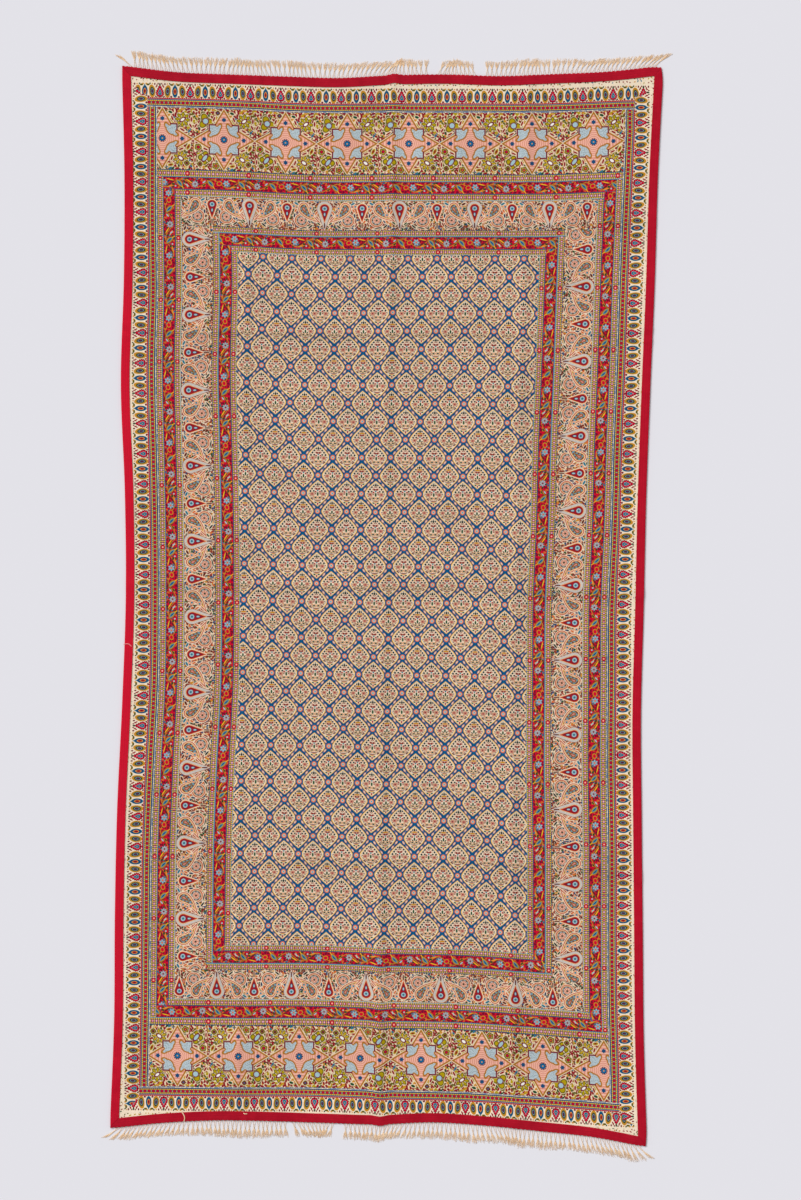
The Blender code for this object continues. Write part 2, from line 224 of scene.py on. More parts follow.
# The first red border's outer edge in millimetres, in even steps from bottom to top, and
# from left to right
PrintSide = namedtuple("PrintSide", "left right")
PRINT_SIDES = [PrintSide(*row) for row in (
    (-439.9, 412.3), (-437.4, 408.5), (-436.1, 407.6), (-434.2, 407.6), (-428.5, 405.7),
    (-420.9, 406.8), (-419.0, 407.6), (-419.7, 413.8), (-422.8, 417.8), (-426.0, 423.9),
    (-422.8, 429.0), (-424.3, 434.9), (-424.1, 441.8),
)]
PRINT_SIDE_REACH = 900.0
PrintEnd = namedtuple("PrintEnd", "bottom top")
PRINT_ENDS = [PrintEnd(*row) for row in (
    (-780.9, 817.0), (-782.8, 812.6), (-783.2, 805.6), (-788.1, 805.6), (-791.9, 805.6),
    (-801.8, 805.6), (-813.2, 811.3),
)]
PRINT_END_REACH = 450.0

# How the middle crease kinks the printed lines at the ends: at X, by how much, in metres
Kink = namedtuple("Kink", "at by half_width")
KINKS = {"top": Kink(0.012, 0.0010, 0.020), "bottom": Kink(-0.012, -0.0024, 0.022)}
UPRIGHT = ("left", "right")

# How the cloth's mesh is divided, in millimetres, and where its lines are sampled, in metres
MESH_STEP = 6.9
STATION_REACH = 1.10
STATIONS = 441
STATION_PLACES = np.linspace(-STATION_REACH, STATION_REACH, STATIONS)
EDGE_POINTS = 1001
THINNEST_BAND = 1e-6

# Where the front, the back and the rim lie in the UV map named OFBake
Plot = namedtuple("Plot", "size place")
BAKED_FRONT = Plot((0.98, 0.955), (0.01, 0.04))
BAKED_BACK = Plot((0.47, 0.025), (0.01, 0.005))
BAKED_RIM = Plot((0.45, 0.01), (0.52, 0.01))

# The field's lattice in millimetres: column and row spacing of its medallions, the first
# medallion's place, and how far its columns lean across for each millimetre along
COLUMN_PITCH = 55.1
ROW_PITCH = 34.4
FIRST_MEDALLION = (-234.7, 660.4)
COLUMN_LEAN = 0.0138

# A lozenge's half sizes, and the millimetres in one unit of its formula near its rim
LOZENGE_HALF_WIDTH = 21.4
LOZENGE_HALF_HEIGHT = 25.2
LOZENGE_SCALE = 15.2

# The lengths of the designs' repeats, the steps of the bead guard's beads and dashes, and
# how far in the designs' middles lie, in millimetres
BUD_PITCH = 57.4
SQUARE_PITCH = 8.05
STAR_PITCH = 117.04
BEAD_PITCH = 116.4
RED_PITCH = 118.0
DROP_PITCH = 142.5
BEAD_STEP = 7.7
DASH_STEP = 4.1
SQUARE_MIDDLE = 9.3
STAR_MIDDLE = 58.9
BEAD_MIDDLE = 5.7
RED_MIDDLE = 11.4
DROP_MIDDLE = 15.4

# Where one repeat's middle falls on each side, and the repeat's length there, in
# millimetres along the band. Along runs clockwise: X on top, -Y on the right, -X at the
# bottom and Y on the left
Repeat = namedtuple("Repeat", "start pitch")
SideRepeats = namedtuple("SideRepeats", "top right bottom left")
BUDS = SideRepeats(Repeat(-430.4, 57.4), Repeat(-60.2, 57.2), Repeat(423.1, 57.3),
                   Repeat(59.7, 57.4))
SQUARES = SideRepeats(*[Repeat(0.0, SQUARE_PITCH)] * 4)
STARS = SideRepeats(Repeat(-308.8, 117.04), Repeat(0.0, 117.04), Repeat(-297.0, 115.7),
                    Repeat(0.0, 117.04))
OUTER_BEADS = SideRepeats(Repeat(-27.9, 116.8), Repeat(-17.0, 117.5), Repeat(-14.1, 117.5),
                          Repeat(-5.7, 117.5))
INNER_BEADS = SideRepeats(Repeat(-17.5, 115.2), Repeat(-14.5, 117.8), Repeat(-3.8, 116.0),
                          Repeat(6.7, 118.0))
OUTER_FLOWERS = SideRepeats(Repeat(-68.1, 118.2), Repeat(-56.4, 118.2), Repeat(60.8, 115.6),
                            Repeat(72.4, 118.66))
INNER_FLOWERS = SideRepeats(Repeat(-58.7, 115.1), Repeat(-55.2, 118.6), Repeat(13.5, 115.0),
                            Repeat(82.5, 117.8))
DROPS = SideRepeats(Repeat(24.9, 142.5), Repeat(-39.1, 141.9), Repeat(38.8, 141.9),
                    Repeat(-20.2, 143.4))
REPEATS = [BUDS, SQUARES, STARS, OUTER_BEADS, OUTER_FLOWERS, OUTER_BEADS, DROPS, INNER_BEADS,
           INNER_FLOWERS, INNER_BEADS]
NOMINAL = [BUD_PITCH, SQUARE_PITCH, STAR_PITCH, BEAD_PITCH, RED_PITCH, BEAD_PITCH, DROP_PITCH,
           BEAD_PITCH, RED_PITCH, BEAD_PITCH]


def dye(red, green, blue):
    """A colour as the eye reads it, from 0 to 255, as the linear light that Blender mixes."""
    parts = [value / 255 for value in (red, green, blue)]
    return tuple(part / 12.92 if part < 0.04045 else ((part + 0.055) / 1.055) ** 2.4
                 for part in parts)


CREAM = dye(240, 222, 196)
FIELD_CREAM = dye(235, 214, 189)
PANEL_CREAM = dye(235, 211, 178)
WARM_CREAM = dye(232, 210, 182)
GOLD = dye(236, 184, 30)
AMBER = dye(226, 154, 44)
PALE_GOLD = dye(220, 180, 118)
OCHRE = dye(200, 136, 32)
BRONZE = dye(172, 112, 30)
OLIVE = dye(140, 124, 52)
GREY_GREEN = dye(112, 116, 88)
DARK_OLIVE = dye(96, 88, 14)
LIME = dye(174, 150, 6)
GOLD_GREEN = dye(194, 160, 30)
MAROON = dye(112, 8, 42)
CRIMSON = dye(160, 24, 34)
RED = dye(202, 2, 42)
DARK_RED = dye(140, 12, 30)
BERRY = dye(186, 0, 54)
RUSSET = dye(134, 44, 34)
PINK = dye(240, 178, 158)
ROSE = dye(212, 132, 118)
STAR_PINK = dye(238, 182, 158)
RUST_PINK = dye(196, 98, 70)
CORAL = dye(192, 80, 52)
LAVENDER = dye(226, 172, 200)
ROSY_RED = dye(204, 70, 92)
SALMON = dye(230, 152, 122)
ORANGE = dye(210, 100, 40)
BROWN = dye(96, 38, 26)
BLUE = dye(8, 98, 148)
LATTICE_BLUE = dye(0, 86, 132)
NAVY = dye(26, 46, 82)
SLATE = dye(24, 72, 112)
TEAL = dye(24, 112, 136)
ICE = dye(164, 192, 200)
PALE_BLUE = dye(178, 180, 188)
STEEL = dye(104, 150, 170)
PALMETTE = dye(184, 198, 204)
GREY_BLUE = dye(134, 148, 152)
PALE_GREEN = dye(166, 168, 148)
GREEN = dye(30, 72, 40)
BLACK_GREEN = dye(30, 44, 40)
WHITE = dye(242, 236, 228)
CLOUDY = dye(200, 190, 186)


# The tapes' reds at the middle and at the corners of each run, as painted light and shade, and the
# other plain colours
# Painted light and shade: the left run lighter, the right run and the ends darker, lit and shaded
# copies of one red
LEFT_LIT_REDS = (dye(207, 7, 42), dye(184, 3, 36))
RIGHT_SHADED_REDS = (dye(182, 3, 35), dye(172, 2, 33))
END_SHADED_REDS = (dye(165, 2, 31), dye(170, 3, 33))
TAPE_LIT_AND_SHADED_REDS = {"left": LEFT_LIT_REDS, "right": RIGHT_SHADED_REDS, "top": END_SHADED_REDS, "bottom": END_SHADED_REDS}
FRINGE_COTTON = dye(250, 224, 192)
LOOSE_PINK = dye(248, 160, 168)
FLOOR_PAINT = dye(229, 228, 234)

# The studio: the floor's reach in metres, the light, with its turn in degrees, and the
# camera, which sees the photo's height of cloth
FLOOR_REACH = 8.0
STUDIO_LIGHT = 0.45
LAMP_POWER = 2.45
LAMP_SPREAD = 28
LAMP_TURN = (-30, -38, 0)
LENS_MM = 85
SENSOR_MM = 36
PHOTO_ROWS = 1200
MM_PER_PIXEL = 1.9
VIEW_MIDDLE = (0.0266, 0.0114)


def smooth_steps(values, fraction):
    """Read a table of even steps as one smooth line (Catmull-Rom), at any fraction."""
    values = np.asarray(values, dtype=float)
    padded = np.concatenate(([2 * values[0] - values[1]], values, [2 * values[-1] - values[-2]]))
    place = np.clip(np.asarray(fraction, dtype=float), 0.0, 1.0) * (len(values) - 1)
    step = np.minimum(place.astype(int), len(values) - 2)
    t = place - step
    before, start, stop, after = (padded[step + k] for k in range(4))
    return 0.5 * (2 * start + (stop - before) * t
                  + (2 * before - 5 * start + 4 * stop - after) * t ** 2
                  + (3 * start - before - 3 * stop + after) * t ** 3)


def at_middle(across):
    """How near a place is to the middle crease, from 0 at its rim to 1 on it."""
    middle = FOLDS_ALONG[1]
    return np.clip(1 - np.abs(across - middle.at) * WIDTH / middle.half_width, 0, 1)


def panel_place(across, up):
    """X and Y of a point of the panel from its fractions across and up."""
    across, up = np.broadcast_arrays(np.asarray(across, float), np.asarray(up, float))
    left = smooth_steps([row.left for row in SIDE_STEPS], up)
    right = smooth_steps([row.right for row in SIDE_STEPS], up)
    bottom = smooth_steps([row.bottom for row in END_STEPS], across)
    top = smooth_steps([row.top for row in END_STEPS], across)
    x = left + (right - left) * across
    y = bottom + (top - bottom) * up + MIDDLE_POINT * at_middle(across) * (2 * up - 1)
    for corner in CORNERS:
        away = np.abs(across - corner.across) * WIDTH + np.abs(up - corner.up) * LENGTH
        pull = corner.drawn_in * np.clip(1 - away / CORNER_REACH, 0, 1) ** 2
        x = x + pull * (1 - 2 * corner.across)
        y = y + pull * (1 - 2 * corner.up)
    return x, y


def centring_shift():
    """How far the solids were moved from the tables above, so that their box is centred."""
    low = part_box("cloth")[0]
    walk = np.linspace(0, 1, 2 * EDGE_POINTS - 1)
    x, _ = panel_place(SHEET_INSET / WIDTH, walk)
    _, y = panel_place(walk, SHEET_INSET / LENGTH)
    return low[0] - x.min(), low[1] - y.min()


SHIFT_X, SHIFT_Y = centring_shift()


def panel_fractions(x, y):
    """The fractions across and up of points given by X and Y, by four rounds of correction."""
    across, up = x / WIDTH + 0.5, y / LENGTH + 0.5
    for _ in range(4):
        near_x, near_y = panel_place(np.clip(across, 0, 1), np.clip(up, 0, 1))
        across = across + (x - near_x) / WIDTH
        up = up + (y - near_y) / LENGTH
    return np.clip(across, 0, 1), np.clip(up, 0, 1)


def crease(distance, fold):
    """Height of one crease at a distance from its line, from 0 to 1.

    A ridge is a raised cosine. A valley is a squared sine, 0 on the line and at its rims.
    """
    part = np.clip(np.abs(distance) / fold.half_width, 0, 1)
    if fold.valley:
        return np.sin(math.pi * part) ** 2
    return 0.5 * (1 + np.cos(math.pi * part))


def fold_height(across, up):
    """Height of the creases above the surface, exactly 0 between them."""
    height = np.zeros(np.broadcast(across, up).shape)
    for folds, place, size, way, way_size, waves in (
            (FOLDS_ALONG, across, WIDTH, up, LENGTH, FOLD_WAVE_UP),
            (FOLDS_ACROSS, up, LENGTH, across, WIDTH, FOLD_WAVE_ACROSS)):
        to_edge = np.minimum(way, 1 - way) * way_size - RIM_INSET
        lift = FOLD_LIFT_AT_EDGE + (1 - FOLD_LIFT_AT_EDGE) * np.clip(to_edge / FOLD_FADE, 0, 1)
        for fold in folds:
            uneven = 1 - FOLD_UNEVENNESS * (1 - np.sin(waves * way + FOLD_PHASE * fold.at))
            rise = fold.height * uneven * lift * crease((place - fold.at) * size, fold)
            height = np.maximum(height, rise)
    return height


def crease_marks(across, up):
    """How near each point is to the nearest crease's line: 1 on it, 0 well away. It places the
    painted shade along the creases.
    """
    lines = [(across - fold.at) * WIDTH for fold in FOLDS_ALONG]
    lines += [(up - fold.at) * LENGTH for fold in FOLDS_ACROSS]
    return np.max([np.exp(-(line / CREASE_MARK) ** 2) for line in lines], axis=0)


class Signal:
    """A number that varies over the cloth: the output of a node, with ordinary arithmetic."""

    def __init__(self, tree, socket):
        self.tree = tree
        self.socket = socket

    def maths(self, operation, *terms, clamp=False):
        node = self.tree.nodes.new("ShaderNodeMath")
        node.operation = operation
        node.use_clamp = clamp
        for entry, term in zip(node.inputs, (self, *terms)):
            feed(self.tree, entry, term)
        return Signal(self.tree, node.outputs[0])

    def __add__(self, other):
        return self.maths("ADD", other)

    def __sub__(self, other):
        return self.maths("SUBTRACT", other)

    def __mul__(self, other):
        return self.maths("MULTIPLY", other)

    def __truediv__(self, other):
        return self.maths("DIVIDE", other)

    def __abs__(self):
        return self.maths("ABSOLUTE")

    def times_plus(self, factor, added):
        return self.maths("MULTIPLY_ADD", factor, added)

    def least(self, other):
        return self.maths("MINIMUM", other)

    def most(self, other):
        return self.maths("MAXIMUM", other)

    def wrapped(self, pitch):
        """Signed distance from the middle of the nearest repeat."""
        return self.maths("WRAP", pitch / 2, -pitch / 2)

    def inside(self, edge=0.0, soft=0.5):
        """1 where this distance is under the edge, and 0 over it, softened like ink."""
        return self.maths("MULTIPLY_ADD", -1 / soft, edge / soft + 0.5, clamp=True)

    def beyond(self, edge=0.0, soft=0.5):
        """1 where this distance is over the edge, and 0 under it."""
        return self.maths("MULTIPLY_ADD", 1 / soft, 0.5 - edge / soft, clamp=True)


def feed(tree, entry, value):
    """Give a node's input a signal, another node's socket, or a plain value."""
    if isinstance(value, Signal):
        tree.links.new(value.socket, entry)
    elif isinstance(value, bpy.types.NodeSocket):
        tree.links.new(value, entry)
    elif entry.type == "RGBA":
        entry.default_value = (*value, 1.0)
    else:
        entry.default_value = value


def add_node(tree, kind, entries=(), **settings):
    """A shader node with its settings, and a link or a value for each of its entries."""
    node = tree.nodes.new("ShaderNode" + kind)
    for label, value in settings.items():
        setattr(node, label, value)
    for label, value in dict(entries).items():
        feed(tree, node.inputs[label], value)
    return node


def pair(x, y):
    """A vector from two signals."""
    return add_node(x.tree, "CombineXYZ", {0: x, 1: y}).outputs[0]


def split(tree, vector):
    """The X and Y of a vector, as two signals."""
    parts = add_node(tree, "SeparateXYZ", {0: vector}).outputs
    return Signal(tree, parts[0]), Signal(tree, parts[1])


def scaled(tree, vector, factor):
    """A vector or a colour times a number."""
    entries = {0: vector, "Scale": factor}
    return add_node(tree, "VectorMath", entries, operation="SCALE").outputs[0]


def long_side(x, y):
    """The length of the vector (x, y)."""
    node = add_node(x.tree, "VectorMath", {0: pair(x, y)}, operation="LENGTH")
    return Signal(x.tree, node.outputs["Value"])


def noise(tree, scale, detail=2.0):
    """Smooth noise over the piece, from 0 to 1, by its lumps in a metre."""
    place = add_node(tree, "TexCoord").outputs["Object"]
    node = add_node(tree, "TexNoise", {"Vector": place, "Scale": scale, "Detail": detail})
    return Signal(tree, node.outputs["Fac"])


def turned(x, y, degrees):
    """The same point seen on axes that are turned anticlockwise by some degrees."""
    cos, sin = math.cos(math.radians(degrees)), math.sin(math.radians(degrees))
    return (y * sin).maths("ADD", x * cos), (x * -sin).maths("ADD", y * cos)


def new_group(name, entries, results):
    """A shader node group with named inputs (name, kind, value) and outputs (name, kind)."""
    tree = bpy.data.node_groups.new(name, "ShaderNodeTree")
    for label, kind, value in entries:
        socket = tree.interface.new_socket(name=label, in_out="INPUT", socket_type=kind)
        socket.default_value = value
    for label, kind in results:
        tree.interface.new_socket(name=label, in_out="OUTPUT", socket_type=kind)
    inside = tree.nodes.new("NodeGroupInput")
    outside = tree.nodes.new("NodeGroupOutput")
    return tree, inside.outputs, outside.inputs


FLOAT, VECTOR, COLOUR = "NodeSocketFloat", "NodeSocketVector", "NodeSocketColor"

# How evenly strewn dashes lie, from 0 to 1, and how short the shortest of them are
DASH_SCATTER = 0.72
SHORTEST_DASH = 0.45
DASH_SPREAD = 0.7

# Lumps in a metre of cloth, how much darker the painted shade on a crease's line is, and the
# weave's relief
WOBBLES_PER_METRE = 55.0
SLUBS_PER_METRE = 420.0
BLOTCHES_PER_METRE = 9.0
GRAINS_PER_METRE = 620.0
CREASE_SHADE = 0.12
WEAVE_BUMP = 0.35
WEAVE_DEPTH = 0.0003
COTTON_SHINE = 0.15


def strewn_dashes_group():
    """Short dashes strewn over a plane, one to a cell, each turned its own way.

    A Voronoi texture gives every point its nearest cell's middle and that cell's own random
    colour. The first part of the colour turns the dash, the second shortens it, and the
    third is put out, to choose the dash's dye.
    """
    tree, given, result = new_group(
        "strewn dashes",
        [("Place", VECTOR, (0, 0, 0)), ("Spacing", FLOAT, 5.0), ("Length", FLOAT, 4.0),
         ("Width", FLOAT, 1.6)],
        [("Mask", FLOAT), ("Choice", FLOAT)])
    scale = Signal(tree, given["Spacing"]).maths("POWER", -1.0)
    cells = add_node(tree, "TexVoronoi", voronoi_dimensions="2D", feature="F1", entries={
        "Vector": given["Place"], "Scale": scale, "Randomness": DASH_SCATTER})
    offset = add_node(tree, "VectorMath", {0: given["Place"], 1: cells.outputs["Position"]},
                      operation="SUBTRACT")
    chances = add_node(tree, "SeparateColor", {0: cells.outputs["Color"]}).outputs
    turn = add_node(tree, "VectorRotate", rotation_type="Z_AXIS", entries={
        "Vector": offset.outputs[0], "Angle": Signal(tree, chances[0]) * math.tau})
    along, across = split(tree, turn.outputs[0])
    shortened = Signal(tree, chances[1]).times_plus(DASH_SPREAD, SHORTEST_DASH)
    shape = long_side(along * 2.0 / Signal(tree, given["Length"]) / shortened,
                      across * 2.0 / Signal(tree, given["Width"]))
    feed(tree, result["Mask"], shape.inside(1.0))
    feed(tree, result["Choice"], chances[2])
    return tree


def hand_wobble_group():
    """How far the print strays from its drawing, in millimetres: a smooth noise round 0."""
    tree, given, result = new_group("hand wobble", [("Amount", FLOAT, 0.8)], [("Stray", VECTOR)])
    place = add_node(tree, "TexCoord").outputs["Object"]
    coloured = add_node(tree, "TexNoise", {"Vector": place, "Scale": WOBBLES_PER_METRE,
                                           "Detail": 2.0, "Roughness": 0.55})
    centred = add_node(tree, "VectorMath", {0: coloured.outputs["Color"], 1: (0.5, 0.5, 0.5)},
                       operation="SUBTRACT")
    feed(tree, result["Stray"], scaled(tree, centred.outputs[0], given["Amount"]))
    return tree


def plain_weave_group():
    """Plain weave: each thread is a rounded ridge, and the two sets pass over in turn.

    The height is the wave across where the two waves' product is above 0, and the wave
    along where it is below, so that they change places as on a chequer board.
    """
    tree, given, result = new_group(
        "plain weave", [("Threads", FLOAT, 1500.0), ("Uneven", FLOAT, 0.3)],
        [("Height", FLOAT), ("Shade", FLOAT)])
    x, y = split(tree, add_node(tree, "TexCoord").outputs["Object"])
    turns = Signal(tree, given["Threads"]) * math.pi
    warp = (x * turns).maths("SINE")
    weft = (y * turns).maths("SINE")
    over = warp * weft
    height = abs(warp) * over.beyond(0.0, 1.0) + abs(weft) * over.inside(0.0, 1.0)
    lumps = noise(tree, SLUBS_PER_METRE) * Signal(tree, given["Uneven"])
    feed(tree, result["Height"], height + lumps)
    # Painted shade: the weave's low places are darker and its raised threads a little lighter
    feed(tree, result["Shade"], height * 0.16 + 0.9)
    return tree


def worn_and_shaded_ink_group():
    """Ink on cotton: blotched where the block took less dye, grainy, and darkened by painted shade
    along the creases.

    The attribute "crease" is 1 on a crease's line and 0 a few millimetres away from it.
    """
    tree, given, result = new_group(
        "worn and shaded ink", [("Ink", COLOUR, (1, 1, 1, 1)), ("Blotch", FLOAT, 0.2), ("Grain", FLOAT, 0.25)],
        [("Colour", COLOUR)])
    blotched, grainy = (
        ((noise(tree, scale, detail) - 0.5) * Signal(tree, given[amount])).times_plus(2.0, 1.0)
        for scale, detail, amount in ((BLOTCHES_PER_METRE, 3.0, "Blotch"),
                                      (GRAINS_PER_METRE, 1.0, "Grain")))
    crease_line = add_node(tree, "Attribute", attribute_name="crease").outputs["Fac"]
    # Painted shade: the ink is darker on each crease's line
    crease_shaded = Signal(tree, crease_line).times_plus(-CREASE_SHADE, 1.0)
    feed(tree, result["Colour"], scaled(tree, given["Ink"], blotched * grainy * crease_shaded))
    return tree


STREWN_DASHES = strewn_dashes_group()
HAND_WOBBLE = hand_wobble_group()
PLAIN_WEAVE = plain_weave_group()
WORN_AND_SHADED_INK = worn_and_shaded_ink_group()

# What strewn dashes are dyed: the part of them up to each limit takes its colour
Dye = namedtuple("Dye", "limit colour")


class Design:
    """One printed design: a material, the place on its band in millimetres, and its colour."""

    def __init__(self, name, ground, wobble=0.9):
        self.material = bpy.data.materials.new(name)
        self.material.use_nodes = True
        self.tree = self.material.node_tree
        self.colour = ground
        drawn = add_node(self.tree, "UVMap", uv_map="print")
        stray = self.group(HAND_WOBBLE, Amount=wobble)
        strayed = add_node(self.tree, "VectorMath", {0: drawn.outputs[0], 1: stray.outputs[0]},
                           operation="ADD")
        self.along, self.across = split(self.tree, strayed.outputs[0])

    def group(self, tree, **values):
        return add_node(self.tree, "Group", values, node_tree=tree)

    def over(self, below, colour, mask):
        """The colour laid over what is below it, where the mask is 1."""
        node = add_node(self.tree, "Mix", {"Factor": mask, "A": below, "B": colour},
                        data_type="RGBA")
        return node.outputs["Result"]

    def lay(self, colour, mask):
        """Lay a colour over all that is drawn so far, where the mask is 1."""
        self.colour = self.over(self.colour, colour, mask)

    def lay_steps(self, distance, *steps):
        """Lay one colour on another, each where the distance is under its own edge."""
        for colour, edge in steps:
            self.lay(colour, distance.inside(edge))

    def contours(self, distance, high, stops):
        """Colours in nested rings by distance: each stop's colour holds from its place on."""
        low = stops[0][0]
        spread = high - low
        node = add_node(self.tree, "ValToRGB", {0: distance.times_plus(1 / spread, -low / spread)})
        node.color_ramp.interpolation = "CONSTANT"
        points = node.color_ramp.elements
        while len(points) < len(stops):
            points.new(0.5)
        for point, (start, colour) in zip(points, stops):
            point.position = min(max((start - low) / spread, 0.0), 1.0)
            point.color = (*colour, 1.0)
        return node.outputs[0]

    def lay_rings(self, distance, high, edge, stops):
        """Lay nested rings where the distance is under the edge."""
        self.lay(self.contours(distance, high, stops), distance.inside(edge))

    def strew(self, x, y, spacing, length, width, dyes, within=None):
        """Strew dashes over the plane of x and y, and dye each one by its own chance."""
        node = self.group(STREWN_DASHES, Place=pair(x, y), Spacing=spacing, Length=length,
                          Width=width)
        mask, choice = (Signal(self.tree, node.outputs[name]) for name in ("Mask", "Choice"))
        limits = [0.0] + [row.limit for row in dyes[:-1]]
        colour = self.contours(choice, 1.0, list(zip(limits, [row.colour for row in dyes])))
        self.lay(colour, mask * within if within else mask)

    def patches(self, rate):
        """Noise along the band, from 0 to 1, by its lumps in a millimetre."""
        node = add_node(self.tree, "TexNoise", noise_dimensions="1D", entries={
            "W": self.along * rate})
        return Signal(self.tree, node.outputs["Fac"])

    def lay_motifs(self, x, y, motifs, ground=None, halo=0.0, edge=0.0, pitch=None):
        """Lay small ellipses by their rows, each on a halo of the ground's colour.

        A row has x, y, half width, half height, degrees and dye, and may end in its own halo.
        With a pitch, the rows' x repeats.
        """
        for at_x, at_y, half_x, half_y, degrees, tint, *own_halo in motifs:
            near_x = (x - at_x).wrapped(pitch) if pitch else x - at_x
            shape = self.ellipse(near_x, y - at_y, half_x, half_y, degrees)
            reach = own_halo[0] if own_halo else halo
            if reach:
                self.lay(ground, shape.inside(reach))
            self.lay(tint, shape.inside(edge))

    def ellipse(self, x, y, half_x, half_y, degrees=0.0):
        """Distance outside an ellipse about (0, 0), in millimetres and roughly true."""
        if degrees:
            x, y = turned(x, y, degrees)
        size = min(half_x, half_y)
        return long_side(x / half_x, y / half_y).times_plus(size, -size)

    def drop(self, x, y, radius, height):
        """Distance outside a teardrop: a circle about (0, 0), with its tip at y = height.

        Below the line where the straight sides leave the circle it is the circle's own
        distance, and above that line it is the distance to the nearer side.
        """
        lean = radius / height
        slope = math.sqrt(1 - lean * lean)
        x = abs(x)
        round_part = long_side(x, y) - radius
        side_part = (x * slope + y * lean) - radius
        above = (y * slope - x * lean).beyond(0.0, 0.2)
        return round_part + (side_part - round_part) * above

    def petals(self, x, y, radius, count, depth):
        """Distance outside a flower whose rim swells and shrinks with the angle about it."""
        rim = y.maths("ARCTAN2", x).times_plus(float(count), 0.0).maths("COSINE")
        rim = rim.times_plus(radius * depth / 2, radius * (1 - depth / 2))
        return long_side(x, y) - rim

    def finish(self, weave=1450.0, blotch=0.16, grain=0.22, roughness=0.9):
        """Lay the ink on woven cotton and give the material its matt finish."""
        # The ink's blotches and grain, and the painted shade along the creases
        worn = self.group(WORN_AND_SHADED_INK, Ink=self.colour, Blotch=blotch, Grain=grain)
        threads = self.group(PLAIN_WEAVE, Threads=weave)
        # The weave's painted shade laid on the ink
        shaded = scaled(self.tree, worn.outputs[0], threads.outputs["Shade"])
        bump = add_node(self.tree, "Bump", {"Strength": WEAVE_BUMP, "Distance": WEAVE_DEPTH,
                                            "Height": threads.outputs["Height"]})
        entries = self.tree.nodes["Principled BSDF"].inputs
        for label, value in (("Base Color", shaded), ("Normal", bump.outputs[0]),
                             ("Roughness", roughness), ("Specular IOR Level", COTTON_SHINE)):
            feed(self.tree, entries[label], value)
        return self.material


FILL_DYES = [Dye(0.30, RUSSET), Dye(0.40, ORANGE), Dye(0.58, GREEN), Dye(0.74, SLATE),
             Dye(0.86, OCHRE), Dye(1.0, BROWN)]
PALE_DYES = [Dye(0.20, RUST_PINK), Dye(0.42, OCHRE), Dye(0.64, GREY_GREEN), Dye(0.88, RUSSET),
             Dye(1.0, BLACK_GREEN)]
LEAFY_DYES = [Dye(0.46, DARK_RED), Dye(0.56, GREEN), Dye(0.70, LIME), Dye(0.82, OCHRE),
              Dye(0.93, DARK_OLIVE), Dye(1.0, TEAL)]


